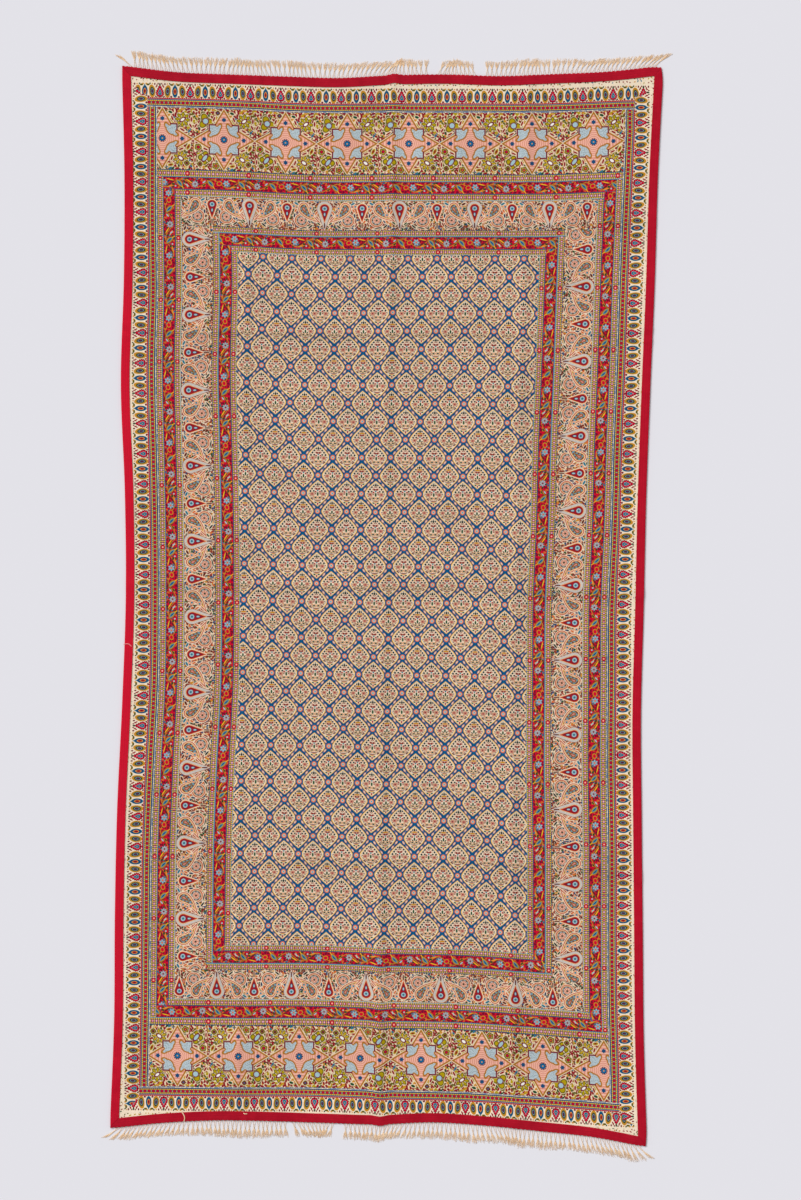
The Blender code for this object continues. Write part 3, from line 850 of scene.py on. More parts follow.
def field_design():
    """Half-drop lozenges in a blue lattice of pale beads, with a disc at every crossing.

    Each lozenge holds a bouquet that is mirrored about its upright axis: a bud, two rosettes
    and small flowers over a bowl, with a row of dots along the lozenge's rim.
    """
    art = Design("field", LATTICE_BLUE, wobble=0.7)
    x = art.along
    y = art.across
    half_column, row = COLUMN_PITCH / 2, ROW_PITCH
    slant_a = x / half_column + y / row
    slant_b = x / half_column - y / row
    half_edge = 0.5 * math.hypot(half_column, row)
    to_middle = half_column * row / 2 / half_edge
    for line, along in ((slant_a, slant_b), (slant_b, slant_a)):
        away = abs(line.wrapped(2.0) * to_middle)
        bead = art.ellipse(away, along.wrapped(0.5) * half_edge, 1.6, 3.4)
        art.lay(NAVY, abs(away - 2.7).inside(0.5))
        art.lay_steps(bead, (SALMON, 0.1), (FIELD_CREAM, -0.6))

    beside_x = (x - half_column).wrapped(COLUMN_PITCH)
    beside_y = y.wrapped(2 * row)
    below_x = x.wrapped(COLUMN_PITCH)
    below_y = (y - row).wrapped(2 * row)
    beside = (abs(beside_x) / half_column + abs(beside_y) / row).inside(1.0, 0.02)
    grown = beside.times_plus(0.06, 1.0)
    u = abs(below_x + (beside_x - below_x) * beside) * grown
    v = (below_y + (beside_y - below_y) * beside) * grown
    lozenge = (u / LOZENGE_HALF_WIDTH + (abs(v) / LOZENGE_HALF_HEIGHT).maths("POWER", 1.5)
               - 1.0) * LOZENGE_SCALE
    art.lay_steps(lozenge, (OCHRE, 0.2), (GOLD, -0.2))
    inside = lozenge.inside(-1.1)
    art.lay(FIELD_CREAM, inside)
    art.strew(u + beside * 90.0, v, 3.7, 4.4, 3.1, PALE_DYES, lozenge.inside(-2.0))

    along_rim = u * 0.625 - abs(v) * 0.781
    rim_dot = art.ellipse(along_rim.wrapped(5.4), lozenge + 4.4, 2.0, 1.6)
    art.lay(FIELD_CREAM, rim_dot.inside(0.7) * inside)
    rim_tint = art.over(BLACK_GREEN, BROWN, v.inside(2.0))
    art.lay(rim_tint, rim_dot.inside() * inside)
    bouquet = [
        (10.6, -1.4, 4.4, 3.7, 0.0, OLIVE, 0.6), (10.6, -1.4, 3.6, 3.0, 0.0, ROSE),
        (10.6, -1.4, 1.6, 1.3, 0.0, BROWN), (6.8, -12.6, 2.2, 1.2, -30.0, GREEN, 0.4),
        (4.1, -8.2, 3.6, 2.9, 0.0, OCHRE), (4.1, -8.2, 2.8, 2.1, 0.0, FIELD_CREAM),
        (4.1, -8.2, 2.2, 1.5, 0.0, BLACK_GREEN), (0.0, -1.4, 1.8, 3.7, 0.0, GREEN, 0.8),
        (2.4, 8.3, 2.9, 2.0, 30.0, RUSSET, 0.7), (4.2, 3.0, 1.7, 1.6, 0.0, CRIMSON, 0.5),
        (7.6, 4.6, 1.9, 1.6, 0.0, BLACK_GREEN, 0.5), (0.0, 5.0, 1.5, 1.5, 0.0, TEAL, 0.5),
        (11.0, -10.4, 3.4, 1.3, 32.0, BROWN, 0.5), (0.0, -13.3, 6.4, 1.1, 0.0, MAROON, 0.5),
        (0.0, -15.2, 4.6, 0.9, 0.0, OCHRE, 0.4), (4.0, -17.4, 2.5, 1.3, 24.0, GREEN, 0.5),
        (0.0, -20.2, 1.4, 2.5, 0.0, CRIMSON, 0.5), (0.0, 16.8, 1.8, 2.9, 0.0, BLACK_GREEN, 0.6),
    ]
    art.lay_motifs(u, v, bouquet, FIELD_CREAM)
    spray = art.ellipse(u, v - 12.4, 5.6, 1.6)
    art.lay(OCHRE, spray.inside() * beside)

    near_a = long_side(below_x, beside_y)
    near_b = long_side(beside_x, below_y)
    disc = near_a.least(near_b)
    art.lay(LATTICE_BLUE, disc.inside(7.3))
    rings = [(0.0, TEAL), (0.9, ICE), (2.2, SALMON), (3.6, ORANGE)]
    art.lay_rings(disc, 6.0, 4.8, rings)
    return art.finish()


def bead_guard_design():
    """A narrow guard between thin blue lines: gold dashes either side of a row of beads."""
    art = Design("bead guard", GREY_BLUE, wobble=0.6)
    from_middle = art.across - BEAD_MIDDLE
    away = abs(from_middle)
    step = abs(art.along.wrapped(DASH_STEP))
    art.lay(OLIVE, away.inside(4.5))
    art.lay(SLATE, step.beyond(1.15, 0.6) * away.inside(4.5) * 0.75)
    art.lay(GOLD, step.inside(1.1, 0.6) * abs(away - 3.5).inside(1.05))
    bead = art.ellipse(art.along.wrapped(BEAD_STEP), from_middle, 2.9, 2.6)
    between_x = (art.along - BEAD_STEP / 2).wrapped(BEAD_STEP)
    between = art.ellipse(between_x, from_middle, 0.9, 1.8)
    reddened = art.patches(0.06).beyond(0.58, 0.05)
    art.lay(BROWN, away.inside(1.6) * 0.6)
    art.lay(PALE_GOLD, between.inside())
    art.lay(MAROON, bead.inside() * 0.85)
    art.lay(art.over(LAVENDER, ROSY_RED, reddened), bead.inside(-0.9))
    large = long_side(art.along.wrapped(BEAD_PITCH), from_middle)
    art.lay_steps(large, (MAROON, 4.3), (RED, 3.5), (PINK, 1.5))
    art.lay(SLATE, from_middle.inside(-4.8))
    art.lay(STEEL, from_middle.beyond(4.8))
    return art.finish()


def outer_guard_design():
    """A dotted red line, a blue line, red squares between rows of gold dashes, and a rim.

    The squares have maroon edges and pale green dots between them. The rim is pale blue
    with cream gaps, and a worn blue line runs along it.
    """
    art = Design("outer guard", GREY_GREEN, wobble=0.6)
    across = art.across
    from_middle = abs(across - SQUARE_MIDDLE)
    step = abs(art.along.wrapped(SQUARE_PITCH))
    square = step.most(from_middle)
    between = abs((art.along - SQUARE_PITCH / 2).wrapped(SQUARE_PITCH)).most(from_middle)
    sides = abs(from_middle - 3.8)
    art.lay(SLATE, step.inside(1.6, 0.8))
    dashes = sides.inside(1.3) * abs((art.along - 2.0).wrapped(SQUARE_PITCH / 2)).inside(1.45)
    art.lay(GOLD, dashes)
    art.lay(PALE_GREEN, between.inside(1.1))
    art.lay_steps(square, (MAROON, 3.0), (BERRY, 1.9))
    art.lay(SLATE, across.inside(4.4))
    art.lay(GREY_BLUE, abs(across - 2.5).inside(0.5))
    dotted = abs(art.along.wrapped(4.6)).inside(1.6)
    art.lay(MAROON, across.inside(1.9))
    art.lay(RED, across.inside(1.9) * dotted)
    art.lay(SLATE, across.beyond(13.9))
    gap = art.patches(0.011).beyond(0.48, 0.04)
    art.lay(art.over(PALE_BLUE, CREAM, gap), across.beyond(16.4))
    worn_line = abs(across - 17.9).inside(0.45) * abs(art.along.wrapped(9.0)).inside(3.4)
    art.lay(SLATE, worn_line)
    return art.finish()


def red_border_design():
    """Red, with flowers of two kinds and slanting leaves in turn on ochre stems."""
    art = Design("red border", RED)
    half = RED_PITCH / 2
    u = art.along
    y = art.across - RED_MIDDLE
    stem = (u * (math.tau / half) + 1.2).maths("SINE")
    for offset, tints in ((0.0, [Dye(0.40, MAROON), Dye(0.60, BLACK_GREEN), Dye(0.72, OCHRE),
                                 Dye(1.0, BROWN)]),
                          (177.0, [Dye(0.45, MAROON), Dye(0.60, TEAL), Dye(0.86, GREEN),
                                   Dye(1.0, ORANGE)])):
        art.strew(u.wrapped(RED_PITCH) + offset, y, 5.2, 6.2, 2.8, tints)
    art.lay(OCHRE, abs(y - stem * 7.4).inside(0.6))

    fruit = art.ellipse((u + 13.0).wrapped(RED_PITCH), y + 0.6, 4.6, 3.6, -12.0)
    art.lay_steps(fruit, (OCHRE, 0.6), (RED, -0.7))
    strokes = [(-70.0, -3.6, 6.4, 1.0, 32.0, GOLD), (-75.0, 3.4, 5.6, 1.0, 32.0, PALE_GOLD),
               (12.0, -6.2, 7.0, 0.9, 14.0, GOLD), (12.0, 6.2, 7.0, 0.9, -14.0, AMBER),
               (22.0, 5.6, 1.5, 1.5, 0.0, ICE), (-42.0, -3.0, 3.4, 1.2, -40.0, ICE),
               (44.0, 4.0, 3.0, 1.2, 60.0, ICE), (-100.0, 2.0, 3.4, 1.3, 20.0, GREEN)]
    art.lay_motifs(u, y, strokes, pitch=RED_PITCH)

    leaf_x, leaf_y = turned((u + 29.4).wrapped(half), y, 46.0)
    bend = leaf_y - (leaf_x * leaf_x) * 0.012
    leaf = abs(bend) + (leaf_x * leaf_x).times_plus(0.048, -3.5)
    rings = [(-5.0, GREEN), (-3.0, BLUE), (-2.0, STEEL), (-1.3, OLIVE), (-0.2, OCHRE)]
    art.lay(MAROON, leaf.inside(1.8))
    art.lay_rings(leaf, 2.0, 1.0, rings)
    tail = abs(bend).most(abs(leaf_x - 10.5) - 3.0)
    art.lay(GOLD, tail.inside(0.7))

    for start, petal, heart in ((0.0, ICE, ORANGE), (half, CLOUDY, MAROON)):
        flower_x = (u - start).wrapped(RED_PITCH)
        flower_y = y - (1.4 if start else -1.0)
        flower = art.petals(flower_x, flower_y, 5.8, 8 if start else 6, depth=0.40)
        ring = long_side(flower_x, flower_y)
        art.lay_steps(flower, (STEEL, 0.8), (petal, -0.6))
        art.lay(SLATE, abs(ring - 2.8).inside(0.4) * 0.6)
        art.lay(heart, ring.inside(1.8))
    art.lay(SLATE, abs(y).beyond(10.6))
    return art.finish()


def paisley_border_design():
    """Teardrops, plain and outlined in turn, and between each pair a paisley with a curl.

    All is mirrored about each teardrop. The paisley's body is a teardrop whose tail leans
    to the outlined teardrop and ends in a small hook. Its second lobe is a ring round a
    flower, open towards the body, beside the plain teardrop's tip.
    """
    art = Design("paisley border", WARM_CREAM)
    far_x = art.along.wrapped(DROP_PITCH)
    x = (art.along - DROP_PITCH / 2).wrapped(DROP_PITCH)
    u = abs(far_x)
    y = art.across
    for offset, spacing, length, width, dyes in ((0.0, 4.0, 4.6, 2.8, PALE_DYES),
                                                 (207.0, 4.5, 6.0, 3.7, FILL_DYES)):
        art.strew(art.along + offset, y, spacing, length, width, dyes, y.beyond(0.8))

    curl_x, curl_y = u - 43.6, y - 39.6
    curl = long_side(curl_x, curl_y)
    rings = [(0.0, GREEN), (1.7, ROSE), (3.0, WARM_CREAM), (4.6, CORAL), (5.8, WARM_CREAM),
             (6.5, GREY_BLUE), (9.4, OCHRE), (10.3, WARM_CREAM), (11.0, CORAL), (12.9, WARM_CREAM)]
    art.lay_rings(curl, 15.0, 14.2, rings)
    around = curl_y.maths("ARCTAN2", curl_x)
    spokes = around.times_plus(7.0, 0.4).maths("COSINE").beyond(0.2, 0.5)
    art.lay(BROWN, spokes * abs(curl - 7.9).inside(1.1))
    art.lay(CORAL, spokes * abs(curl - 3.6).inside(0.7))

    hook = long_side(u - 16.4, y - 36.4)
    arc = abs(hook - 3.7) - (y - 36.8).beyond(0.0, 2.5) * 1.9
    art.lay_steps(arc, (WARM_CREAM, 2.6), (CORAL, 1.5), (MAROON, 0.3))

    body_x, body_y = turned(u - 39.8, y - 16.2, 45.0)
    bend = body_x - (body_y * 0.105).maths("SINE") * 2.4
    body = art.drop(bend, body_y, 9.2, 36.0)
    spots = art.ellipse(body_y.wrapped(6.2), abs(body + 3.6), 1.7, 1.3)
    rings = [(-9.0, ROSE), (-7.4, RUSSET), (-6.4, OLIVE), (-5.2, STEEL), (-2.5, OLIVE),
             (-1.9, AMBER), (-0.9, WARM_CREAM), (0.1, CORAL), (1.9, WARM_CREAM)]
    art.lay_rings(body, 4.0, 3.4, rings)
    art.lay(MAROON, spots.inside())

    leaves = [
        (16.6, 26.6, 4.8, 1.9, 62.0, NAVY), (16.0, 24.8, 4.4, 1.5, 62.0, ORANGE),
        (57.0, 30.0, 4.4, 1.6, 80.0, NAVY), (41.0, 54.6, 7.4, 1.2, 14.0, BLACK_GREEN),
        (27.0, 52.0, 5.4, 1.6, 40.0, BLACK_GREEN), (11.0, 46.0, 4.0, 1.5, -40.0, GREEN),
        (60.0, 48.0, 4.8, 1.4, -65.0, RUSSET), (21.0, 6.8, 4.6, 2.0, 30.0, BROWN),
        (53.5, 6.4, 4.6, 1.9, -30.0, TEAL), (29.0, 42.5, 3.6, 1.4, -50.0, NAVY),
        (55.0, 20.0, 4.0, 1.6, 60.0, ORANGE), (6.0, 51.5, 3.0, 1.3, 50.0, BROWN),
    ]
    art.lay_motifs(u, y, leaves, WARM_CREAM, halo=0.9)
    for middle, across in ((26.5, 15.0), (58.5, 12.0), (24.0, 29.5)):
        rosette = long_side(u - middle, y - across)
        rings = [(0.0, TEAL), (1.9, WARM_CREAM), (2.6, ORANGE), (3.8, WARM_CREAM)]
        art.lay_rings(rosette, 5.0, 4.6, rings)

    for drop_x, outlined in ((x, False), (far_x, True)):
        drop = art.drop(drop_x, y - DROP_MIDDLE, 8.6, 27.0)
        stem = abs(drop_x).most(abs(y - 49.5) - 4.0)
        art.lay(WARM_CREAM, stem.inside(1.9))
        rings = [(-9.0, CRIMSON), (-2.4, MAROON), (-1.5, CRIMSON), (-0.7, ORANGE),
                 (0.6, WARM_CREAM)]
        if outlined:
            rings += [(1.4, GREY_BLUE), (2.1, WARM_CREAM), (3.2, PALE_BLUE), (4.8, WARM_CREAM),
                      (5.6, RUSSET)]
        art.lay_rings(drop, 8.0, 6.5 if outlined else 2.2, rings)
        art.lay(BROWN, stem.inside(1.2))
        heart = long_side(drop_x, y - DROP_MIDDLE)
        rings = [(0.0, TEAL), (1.9, GREY_BLUE), (2.7, ICE), (4.4, NAVY)]
        art.lay_rings(heart, 6.0, 5.0, rings)
        bud = art.ellipse(drop_x, y - 27.0, 1.5, 3.0)
        art.lay_steps(bud, (NAVY, 0.8), (ICE, 0.0))
    return art.finish()


# What grows round a star, by its place from the star's middle in millimetres, y to the
# outside: a flower has petals round a heart, and a sprig is one slanting leaf
Flower = namedtuple("Flower", "x y radius petals depth tint wide high slant heart")
Sprig = namedtuple("Sprig", "x y half_long half_wide slant tint heart",
                   defaults=(DARK_RED, DARK_RED))


def star_panel_design():
    """Four-pointed pink stars with blue-grey palmettes between their points, in flowers."""
    art = Design("star panel", PANEL_CREAM, wobble=0.7)
    x = art.along.wrapped(STAR_PITCH)
    y = (art.across - STAR_MIDDLE) * -1.0
    for offset, spacing, length, width in ((333.0, 4.9, 6.2, 3.1), (0.0, 6.0, 9.8, 3.8)):
        art.strew(x + offset, y, spacing, length, width, LEAFY_DYES)

    flowers = [Flower(*row) for row in (
        (38.5, 36.3, 13.6, 8, 0.30, LIME, 4.2, 2.2, 35, WHITE),
        (-34.9, 34.2, 14.2, 3, 0.46, LIME, 4.8, 4.8, 0, ICE),
        (34.9, -37.0, 13.6, 9, 0.30, GOLD_GREEN, 4.2, 2.5, -35, WHITE),
        (-36.3, -35.6, 12.4, 4, 0.24, LIME, 6.4, 3.1, 52, ICE),
        (-48.7, -15.3, 6.2, 5, 0.20, GOLD_GREEN, 1.7, 1.7, 0, RED),
        (-15.3, -50.1, 6.2, 5, 0.20, GOLD_GREEN, 1.6, 1.6, 0, ORANGE),
        (-45.8, -47.2, 4.4, 4, 0.15, LIME, 1.0, 1.0, 0, GREEN),
        (46.5, -46.0, 4.6, 4, 0.15, LIME, 1.0, 1.0, 0, GREEN),
        (-11.6, 50.4, 3.8, 4, 0.2, GOLD_GREEN, 1.6, 1.2, 0, TEAL),
    )]
    for flower in flowers:
        near_x = (x - flower.x).wrapped(STAR_PITCH)
        near_y = y - flower.y
        reach = long_side(near_x, near_y)
        lobes = near_y.maths("ARCTAN2", near_x).times_plus(float(flower.petals), 0.6)
        lobes = lobes.maths("COSINE")
        swell = flower.radius * flower.depth / 2
        rim = reach - lobes.times_plus(swell, flower.radius - swell)
        heart = art.ellipse(near_x, near_y, flower.wide, flower.high, flower.slant)
        petal = art.over(flower.tint, DARK_OLIVE, lobes.inside(-0.1, 1.0))
        petal = art.over(petal, PANEL_CREAM, lobes.inside(-0.82, 0.2))
        art.lay_steps(rim, (PANEL_CREAM, 2.2), (DARK_OLIVE, 1.2))
        art.lay(petal, rim.inside(-0.9, 0.8))
        art.lay_steps(heart, (MAROON, 1.7), (flower.heart, 0.0))

    sprigs = [Sprig(*row) for row in (
        (49.4, -15.3, 6.4, 3.0, 62, LIME, DARK_RED), (16.0, -50.1, 5.6, 2.8, 10, LIME, DARK_RED),
        (15.3, 50.1, 4.2, 2.4, -20, GREEN, GREEN), (18.9, 38.5, 5.0, 1.7, -68),
        (-18.9, 38.5, 5.0, 1.7, 68), (38.0, 17.0, 5.2, 1.7, -30), (-38.8, 18.0, 5.2, 1.7, 28),
        (18.0, -37.5, 4.8, 1.7, 72), (-19.5, -37.5, 4.8, 1.7, -72), (36.0, -19.5, 5.0, 1.6, 24),
        (-35.0, -18.6, 5.0, 1.6, -24), (55.0, 37.0, 4.8, 1.7, 88), (-53.6, 25.0, 4.8, 1.7, 60),
        (53.6, 25.0, 4.8, 1.7, -60), (-55.0, -40.0, 4.8, 1.6, 88),
    )]
    for sprig in sprigs:
        near_x = (x - sprig.x).wrapped(STAR_PITCH)
        leaf = art.ellipse(near_x, y - sprig.y, sprig.half_long, sprig.half_wide, sprig.slant)
        art.lay_steps(leaf, (PANEL_CREAM, 1.0), (sprig.tint, 0.0), (sprig.heart, -1.3))

    far = abs(x).most(abs(y))
    near = abs(x).least(abs(y))
    point = (near + far * 0.60 - 33.0) * 0.86
    body = point.least(far - 26.4)
    art.lay_steps(body, (PANEL_CREAM, 3.1), (BRONZE, 1.8))
    centre = long_side(x, y)
    ripples = abs(centre.least(far * -0.6 + 40.0).wrapped(3.6)).inside(0.7, 0.9)
    pink = art.over(STAR_PINK, ROSE, ripples)
    art.lay(pink, body.inside(-1.2))

    blade = long_side(far - 21.5, near - 21.5) - 14.2
    blade = blade.most(far - 27.2)
    notch = long_side(far - 27.6, near - 13.4) - 2.8
    blade = blade.most(notch * -1.0)
    lobe = art.ellipse(far - 24.8, near - 7.6, 4.4, 2.6, -12.0)
    palmette = blade.least(lobe)
    outer_corner = (far - 26.6).beyond() * (near - 14.5).beyond()
    stipple = add_node(art.tree, "TexNoise", {"Vector": pair(x, y), "Scale": 0.5},
                       noise_dimensions="2D")
    dotted = Signal(art.tree, stipple.outputs["Fac"]).beyond(0.56, 0.1)
    grey = art.over(PALMETTE, GREY_BLUE, dotted * 0.85)
    art.lay(BRONZE, palmette.inside(1.7))
    art.lay(MAROON, palmette.inside(1.9) * outer_corner)
    art.lay(grey, palmette.inside(-0.7))

    rosette = art.petals(x, y, 7.2, 10, depth=0.30)
    art.lay(NAVY, rosette.inside(0.4))
    art.lay_steps(centre, (BLUE, 4.6), (AMBER, 1.3))
    small = art.petals(far - 37.6, near, 4.4, 6, depth=0.3)
    art.lay(SLATE, small.inside(0.2))
    art.lay(SLATE, abs(art.across - STAR_MIDDLE).beyond(58.4))
    return art.finish()


def bud_row_design():
    """Small red cypresses and paisley buds in turn, tips outwards, with sprigs round them."""
    art = Design("bud row", CREAM, wobble=0.7)
    x = art.along.wrapped(BUD_PITCH)
    y = art.across
    u = abs(x)

    tips = [
        (5.6, 23.2, 1.1, 2.1, 0.0, DARK_RED), (3.4, 26.6, 1.0, 1.4, 0.0, MAROON),
        (22.4, 24.8, 3.2, 1.7, 0.0, DARK_OLIVE), (25.6, 26.8, 1.6, 1.2, 0.0, OCHRE),
        (14.3, 25.2, 1.3, 2.2, 0.0, OCHRE), (9.6, 26.0, 1.2, 1.9, 0.0, MAROON),
        (18.6, 26.8, 1.2, 1.5, 0.0, GREEN), (7.2, 2.6, 2.1, 1.5, 0.0, BROWN),
        (21.4, 2.4, 2.1, 1.5, 0.0, MAROON), (14.3, 0.9, 1.5, 1.1, 0.0, GREEN),
        (28.7, 1.2, 1.8, 1.2, 0.0, GREEN), (7.2, 20.6, 0.9, 1.5, 0.0, DARK_RED),
    ]
    art.lay_motifs(u, y, tips, edge=0.2)

    bud_x = u - BUD_PITCH / 4 - ((y - 7.0) * (y - 7.0)) * 0.006
    gold_bud = art.ellipse(bud_x, y - 12.4, 5.8, 11.2)
    rings = [(-6.0, MAROON), (-4.9, NAVY), (-3.8, GREY_BLUE), (-3.1, BLACK_GREEN), (-2.0, OLIVE),
             (-1.2, OCHRE), (0.5, CREAM)]
    art.lay_rings(gold_bud, 2.0, 1.3, rings)
    blue_bud = art.ellipse(u - BUD_PITCH / 2, y - 12.2, 5.0, 10.4)
    point = art.drop(u - BUD_PITCH / 2, y - 16.0, 3.4, 10.0)
    blue_bud = blue_bud.least(point)
    rings = [(-5.4, MAROON), (-4.2, CRIMSON), (-3.0, AMBER), (-2.3, SLATE), (-0.4, TEAL),
             (0.4, CREAM)]
    art.lay_rings(blue_bud, 2.0, 1.1, rings)
    teeth = (y * (math.tau / 3.6)).maths("SINE") * 0.7
    cypress = art.drop(x, y - 9.0, 7.0, 15.6) + teeth
    rings = [(-8.0, AMBER), (-6.6, TEAL), (-3.6, ICE), (-3.2, RED), (-0.8, MAROON), (0.8, CREAM)]
    art.lay_rings(cypress, 2.0, 1.6, rings)
    art.lay(GREEN, art.ellipse(x, y - 25.8, 1.5, 2.3).inside())
    foot = u.most(abs(y - 2.0) - 1.8)
    art.lay(MAROON, foot.inside(1.2))
    art.lay(CREAM, y.beyond(28.6))
    art.strew(art.along, y, 6.6, 5.0, 2.2, LEAFY_DYES, y.beyond(31.0))
    art.lay(DARK_RED, y.inside(0.9) * abs(art.along.wrapped(3.6)).inside(1.1))
    return art.finish()


def reverse_design():
    """The plain back of the cloth, where a little of the dye has come through."""
    art = Design("reverse", dye(226, 208, 184))
    art.lay(dye(196, 172, 150), noise(art.tree, 34.0).beyond(0.55, 0.3))
    return art.finish()


def tape_material(name, middle, corner, run):
    """Red cotton tape: a finer weave, soft lines along it, and slightly lighter patches at random,
    partly wear and partly painted highlight.

    Its red drifts from one shade at the middle of its run to another at the corners, as painted
    light and shade.
    """
    art = Design(name, middle)
    # Painted light and shade: the corners' red laid over the middle's towards the run's ends
    art.lay(corner, abs(art.along - run / 2).beyond(run * 0.40, run * 0.16))
    wear_and_highlight = tuple(min(1.0, part * 1.25 + 0.004) for part in corner)
    darker = tuple(part * 0.62 for part in corner)
    # Wear and painted highlight: lighter patches at random
    art.lay(wear_and_highlight, noise(art.tree, 46.0, 4.0).beyond(0.52, 0.35) * 0.6)
    art.lay(darker, abs(art.across.wrapped(4.4)).inside(0.35, 0.8) * 0.45)
    return art.finish(weave=1900.0, blotch=0.12, grain=0.25, roughness=0.8)


def thread_material(name, colour):
    """Spun cotton: the colour drifts from thread to thread, with fine darker gaps."""
    art = Design(name, colour)
    darker = tuple(part * factor for part, factor in zip(colour, (0.92, 0.80, 0.66)))
    art.lay(darker, noise(art.tree, 130.0, 3.0).beyond(0.5, 0.4))
    return art.finish(weave=2600.0, blotch=0.10, grain=0.20)


def sampled_lines(outer, print_line, widths, inwards):
    """One side's lines at every station: the cloth's edge, then the bands' lines, inwards."""
    offsets = np.concatenate(([0.0], np.cumsum(widths)))
    offsets = (offsets - offsets[BANDS_OUTSIDE_LINE]) * MM
    return np.vstack([outer, print_line[None, :] + inwards * offsets[:, None]])


def read_lines(lines, at):
    """Read line k of a set at the places in column k of a grid, between even stations."""
    place = (at + STATION_REACH) / (2 * STATION_REACH) * (STATIONS - 1)
    low = np.clip(place.astype(int), 0, STATIONS - 2)
    t = place - low
    index = np.arange(len(lines))[None, :]
    return lines[index, low] * (1 - t) + lines[index, low + 1] * t


Strip = namedtuple("Strip", "level side start stop")


def divided(first, last):
    """The mesh's lines between the main lines of two facing sides, and what lies between.

    first runs from the outside in, and last from the outside in on the far side. Every
    gap between neighbouring lines is divided evenly. A strip's level counts the bands from
    the outside, with the bud row as 0, and start and stop are its fractions of the band,
    from the band's outer edge.
    """
    levels = len(first) - 1
    main = list(first) + list(last[::-1])
    lines, strips = [], []
    for index, (line, following) in enumerate(zip(main, main[1:])):
        side = -1 if index < levels else (0 if index == levels else 1)
        level = index if side <= 0 else 2 * levels - index
        width = np.median(following - line)
        if width < THINNEST_BAND:
            continue
        parts = max(1, int(round(width / (MESH_STEP * MM))))
        for part in range(parts):
            lines.append(line + (following - line) * part / parts)
            start, stop = part / parts, (part + 1) / parts
            if side > 0:
                start, stop = 1 - start, 1 - stop
            strips.append(Strip(level, side, start, stop))
    lines.append(main[-1])
    return np.array(lines), strips


def cloth_lines():
    """The two sets of curved lines that the cloth's mesh follows, and their strips."""
    walk = np.linspace(0, 1, EDGE_POINTS)
    lines = {}
    for name, across, up, inwards in (("left", SHEET_INSET / WIDTH, walk, 1),
                                      ("right", 1 - SHEET_INSET / WIDTH, walk, -1),
                                      ("bottom", walk, SHEET_INSET / LENGTH, 1),
                                      ("top", walk, 1 - SHEET_INSET / LENGTH, -1)):
        upright = name in UPRIGHT
        x, y = panel_place(across, up)
        x, y = x + SHIFT_X, y + SHIFT_Y
        edge = np.interp(STATION_PLACES, y, x) if upright else np.interp(STATION_PLACES, x, y)
        table, reach = ((PRINT_SIDES, PRINT_SIDE_REACH) if upright
                        else (PRINT_ENDS, PRINT_END_REACH))
        part = (STATION_PLACES / MM / reach + 1) / 2
        printed = smooth_steps([getattr(row, name) for row in table], part) * MM
        if name in KINKS:
            away = np.abs(STATION_PLACES - KINKS[name].at) / KINKS[name].half_width
            printed = printed + KINKS[name].by * np.clip(1 - away, 0, 1)
        widths = [band.side_width if upright else band.end_width for band in BANDS]
        lines[name] = sampled_lines(edge, printed, widths, inwards)
    columns, column_strips = divided(lines["left"], lines["right"])
    rows, row_strips = divided(lines["bottom"], lines["top"])
    bud_lines = {name: side_lines[1] for name, side_lines in lines.items()}
    return columns, column_strips, rows, row_strips, bud_lines


def crossings(columns, rows):
    """X and Y where every row line meets every column line, by rounds of correction."""
    x = np.broadcast_to(columns[:, STATIONS // 2], (len(rows), len(columns)))
    y = np.zeros_like(x)
    for _ in range(5):
        y = read_lines(rows, x.T).T
        x = read_lines(columns, y)
    return x, y


def new_piece(name, points, faces, materials):
    """A smooth mesh whose object sits at the origin."""
    mesh = bpy.data.meshes.new(name)
    mesh.from_pydata(points, [], faces)
    for material in materials:
        mesh.materials.append(material)
    mesh.polygons.foreach_set("use_smooth", np.ones(len(faces), dtype=bool))
    mesh.update()
    piece = bpy.data.objects.new(name, mesh)
    bpy.context.scene.collection.objects.link(piece)
    return piece


def closed_sheet(name, outer, inner, face_slots, materials):
    """A sheet with a wall: an outer grid, an inner grid behind it, and a rim round both.

    The grids have the same rows and columns. The outer faces wind one way and the inner
    ones the other, and four strips of faces close the edges. face_slots gives the material
    of each outer face, and the last material is that of the inner faces and the rim.
    """
    rows, columns = outer.shape[:2]
    count = rows * columns
    corner = np.arange(count).reshape(rows, columns)
    front = face_corners(corner)
    rims = []
    for edge, forward in ((corner[0], True), (corner[:, -1], True),
                          (corner[-1], False), (corner[:, 0], False)):
        first, second = (edge[:-1], edge[1:]) if forward else (edge[1:], edge[:-1])
        rims.append(np.stack([first + count, second + count, second, first], -1))
    faces = np.concatenate([front.reshape(-1, 4), front[..., ::-1].reshape(-1, 4) + count, *rims])
    points = np.concatenate([outer.reshape(-1, 3), inner.reshape(-1, 3)])
    piece = new_piece(name, points.tolist(), faces.tolist(), materials)
    slots = np.full(len(faces), len(materials) - 1, dtype=np.int32)
    slots[:face_slots.size] = face_slots.reshape(-1)
    piece.data.polygons.foreach_set("material_index", slots)
    return piece


def set_uv(mesh, name, values):
    """Store one UV pair for every corner of every face."""
    layer = mesh.uv_layers.new(name=name)
    layer.data.foreach_set("uv", np.ascontiguousarray(values, dtype=np.float32).reshape(-1))


def face_corners(grid):
    """A grid's values at the four corners of each of its faces, in the faces' own order."""
    return np.stack([grid[:-1, :-1], grid[:-1, 1:], grid[1:, 1:], grid[1:, :-1]], axis=-1)


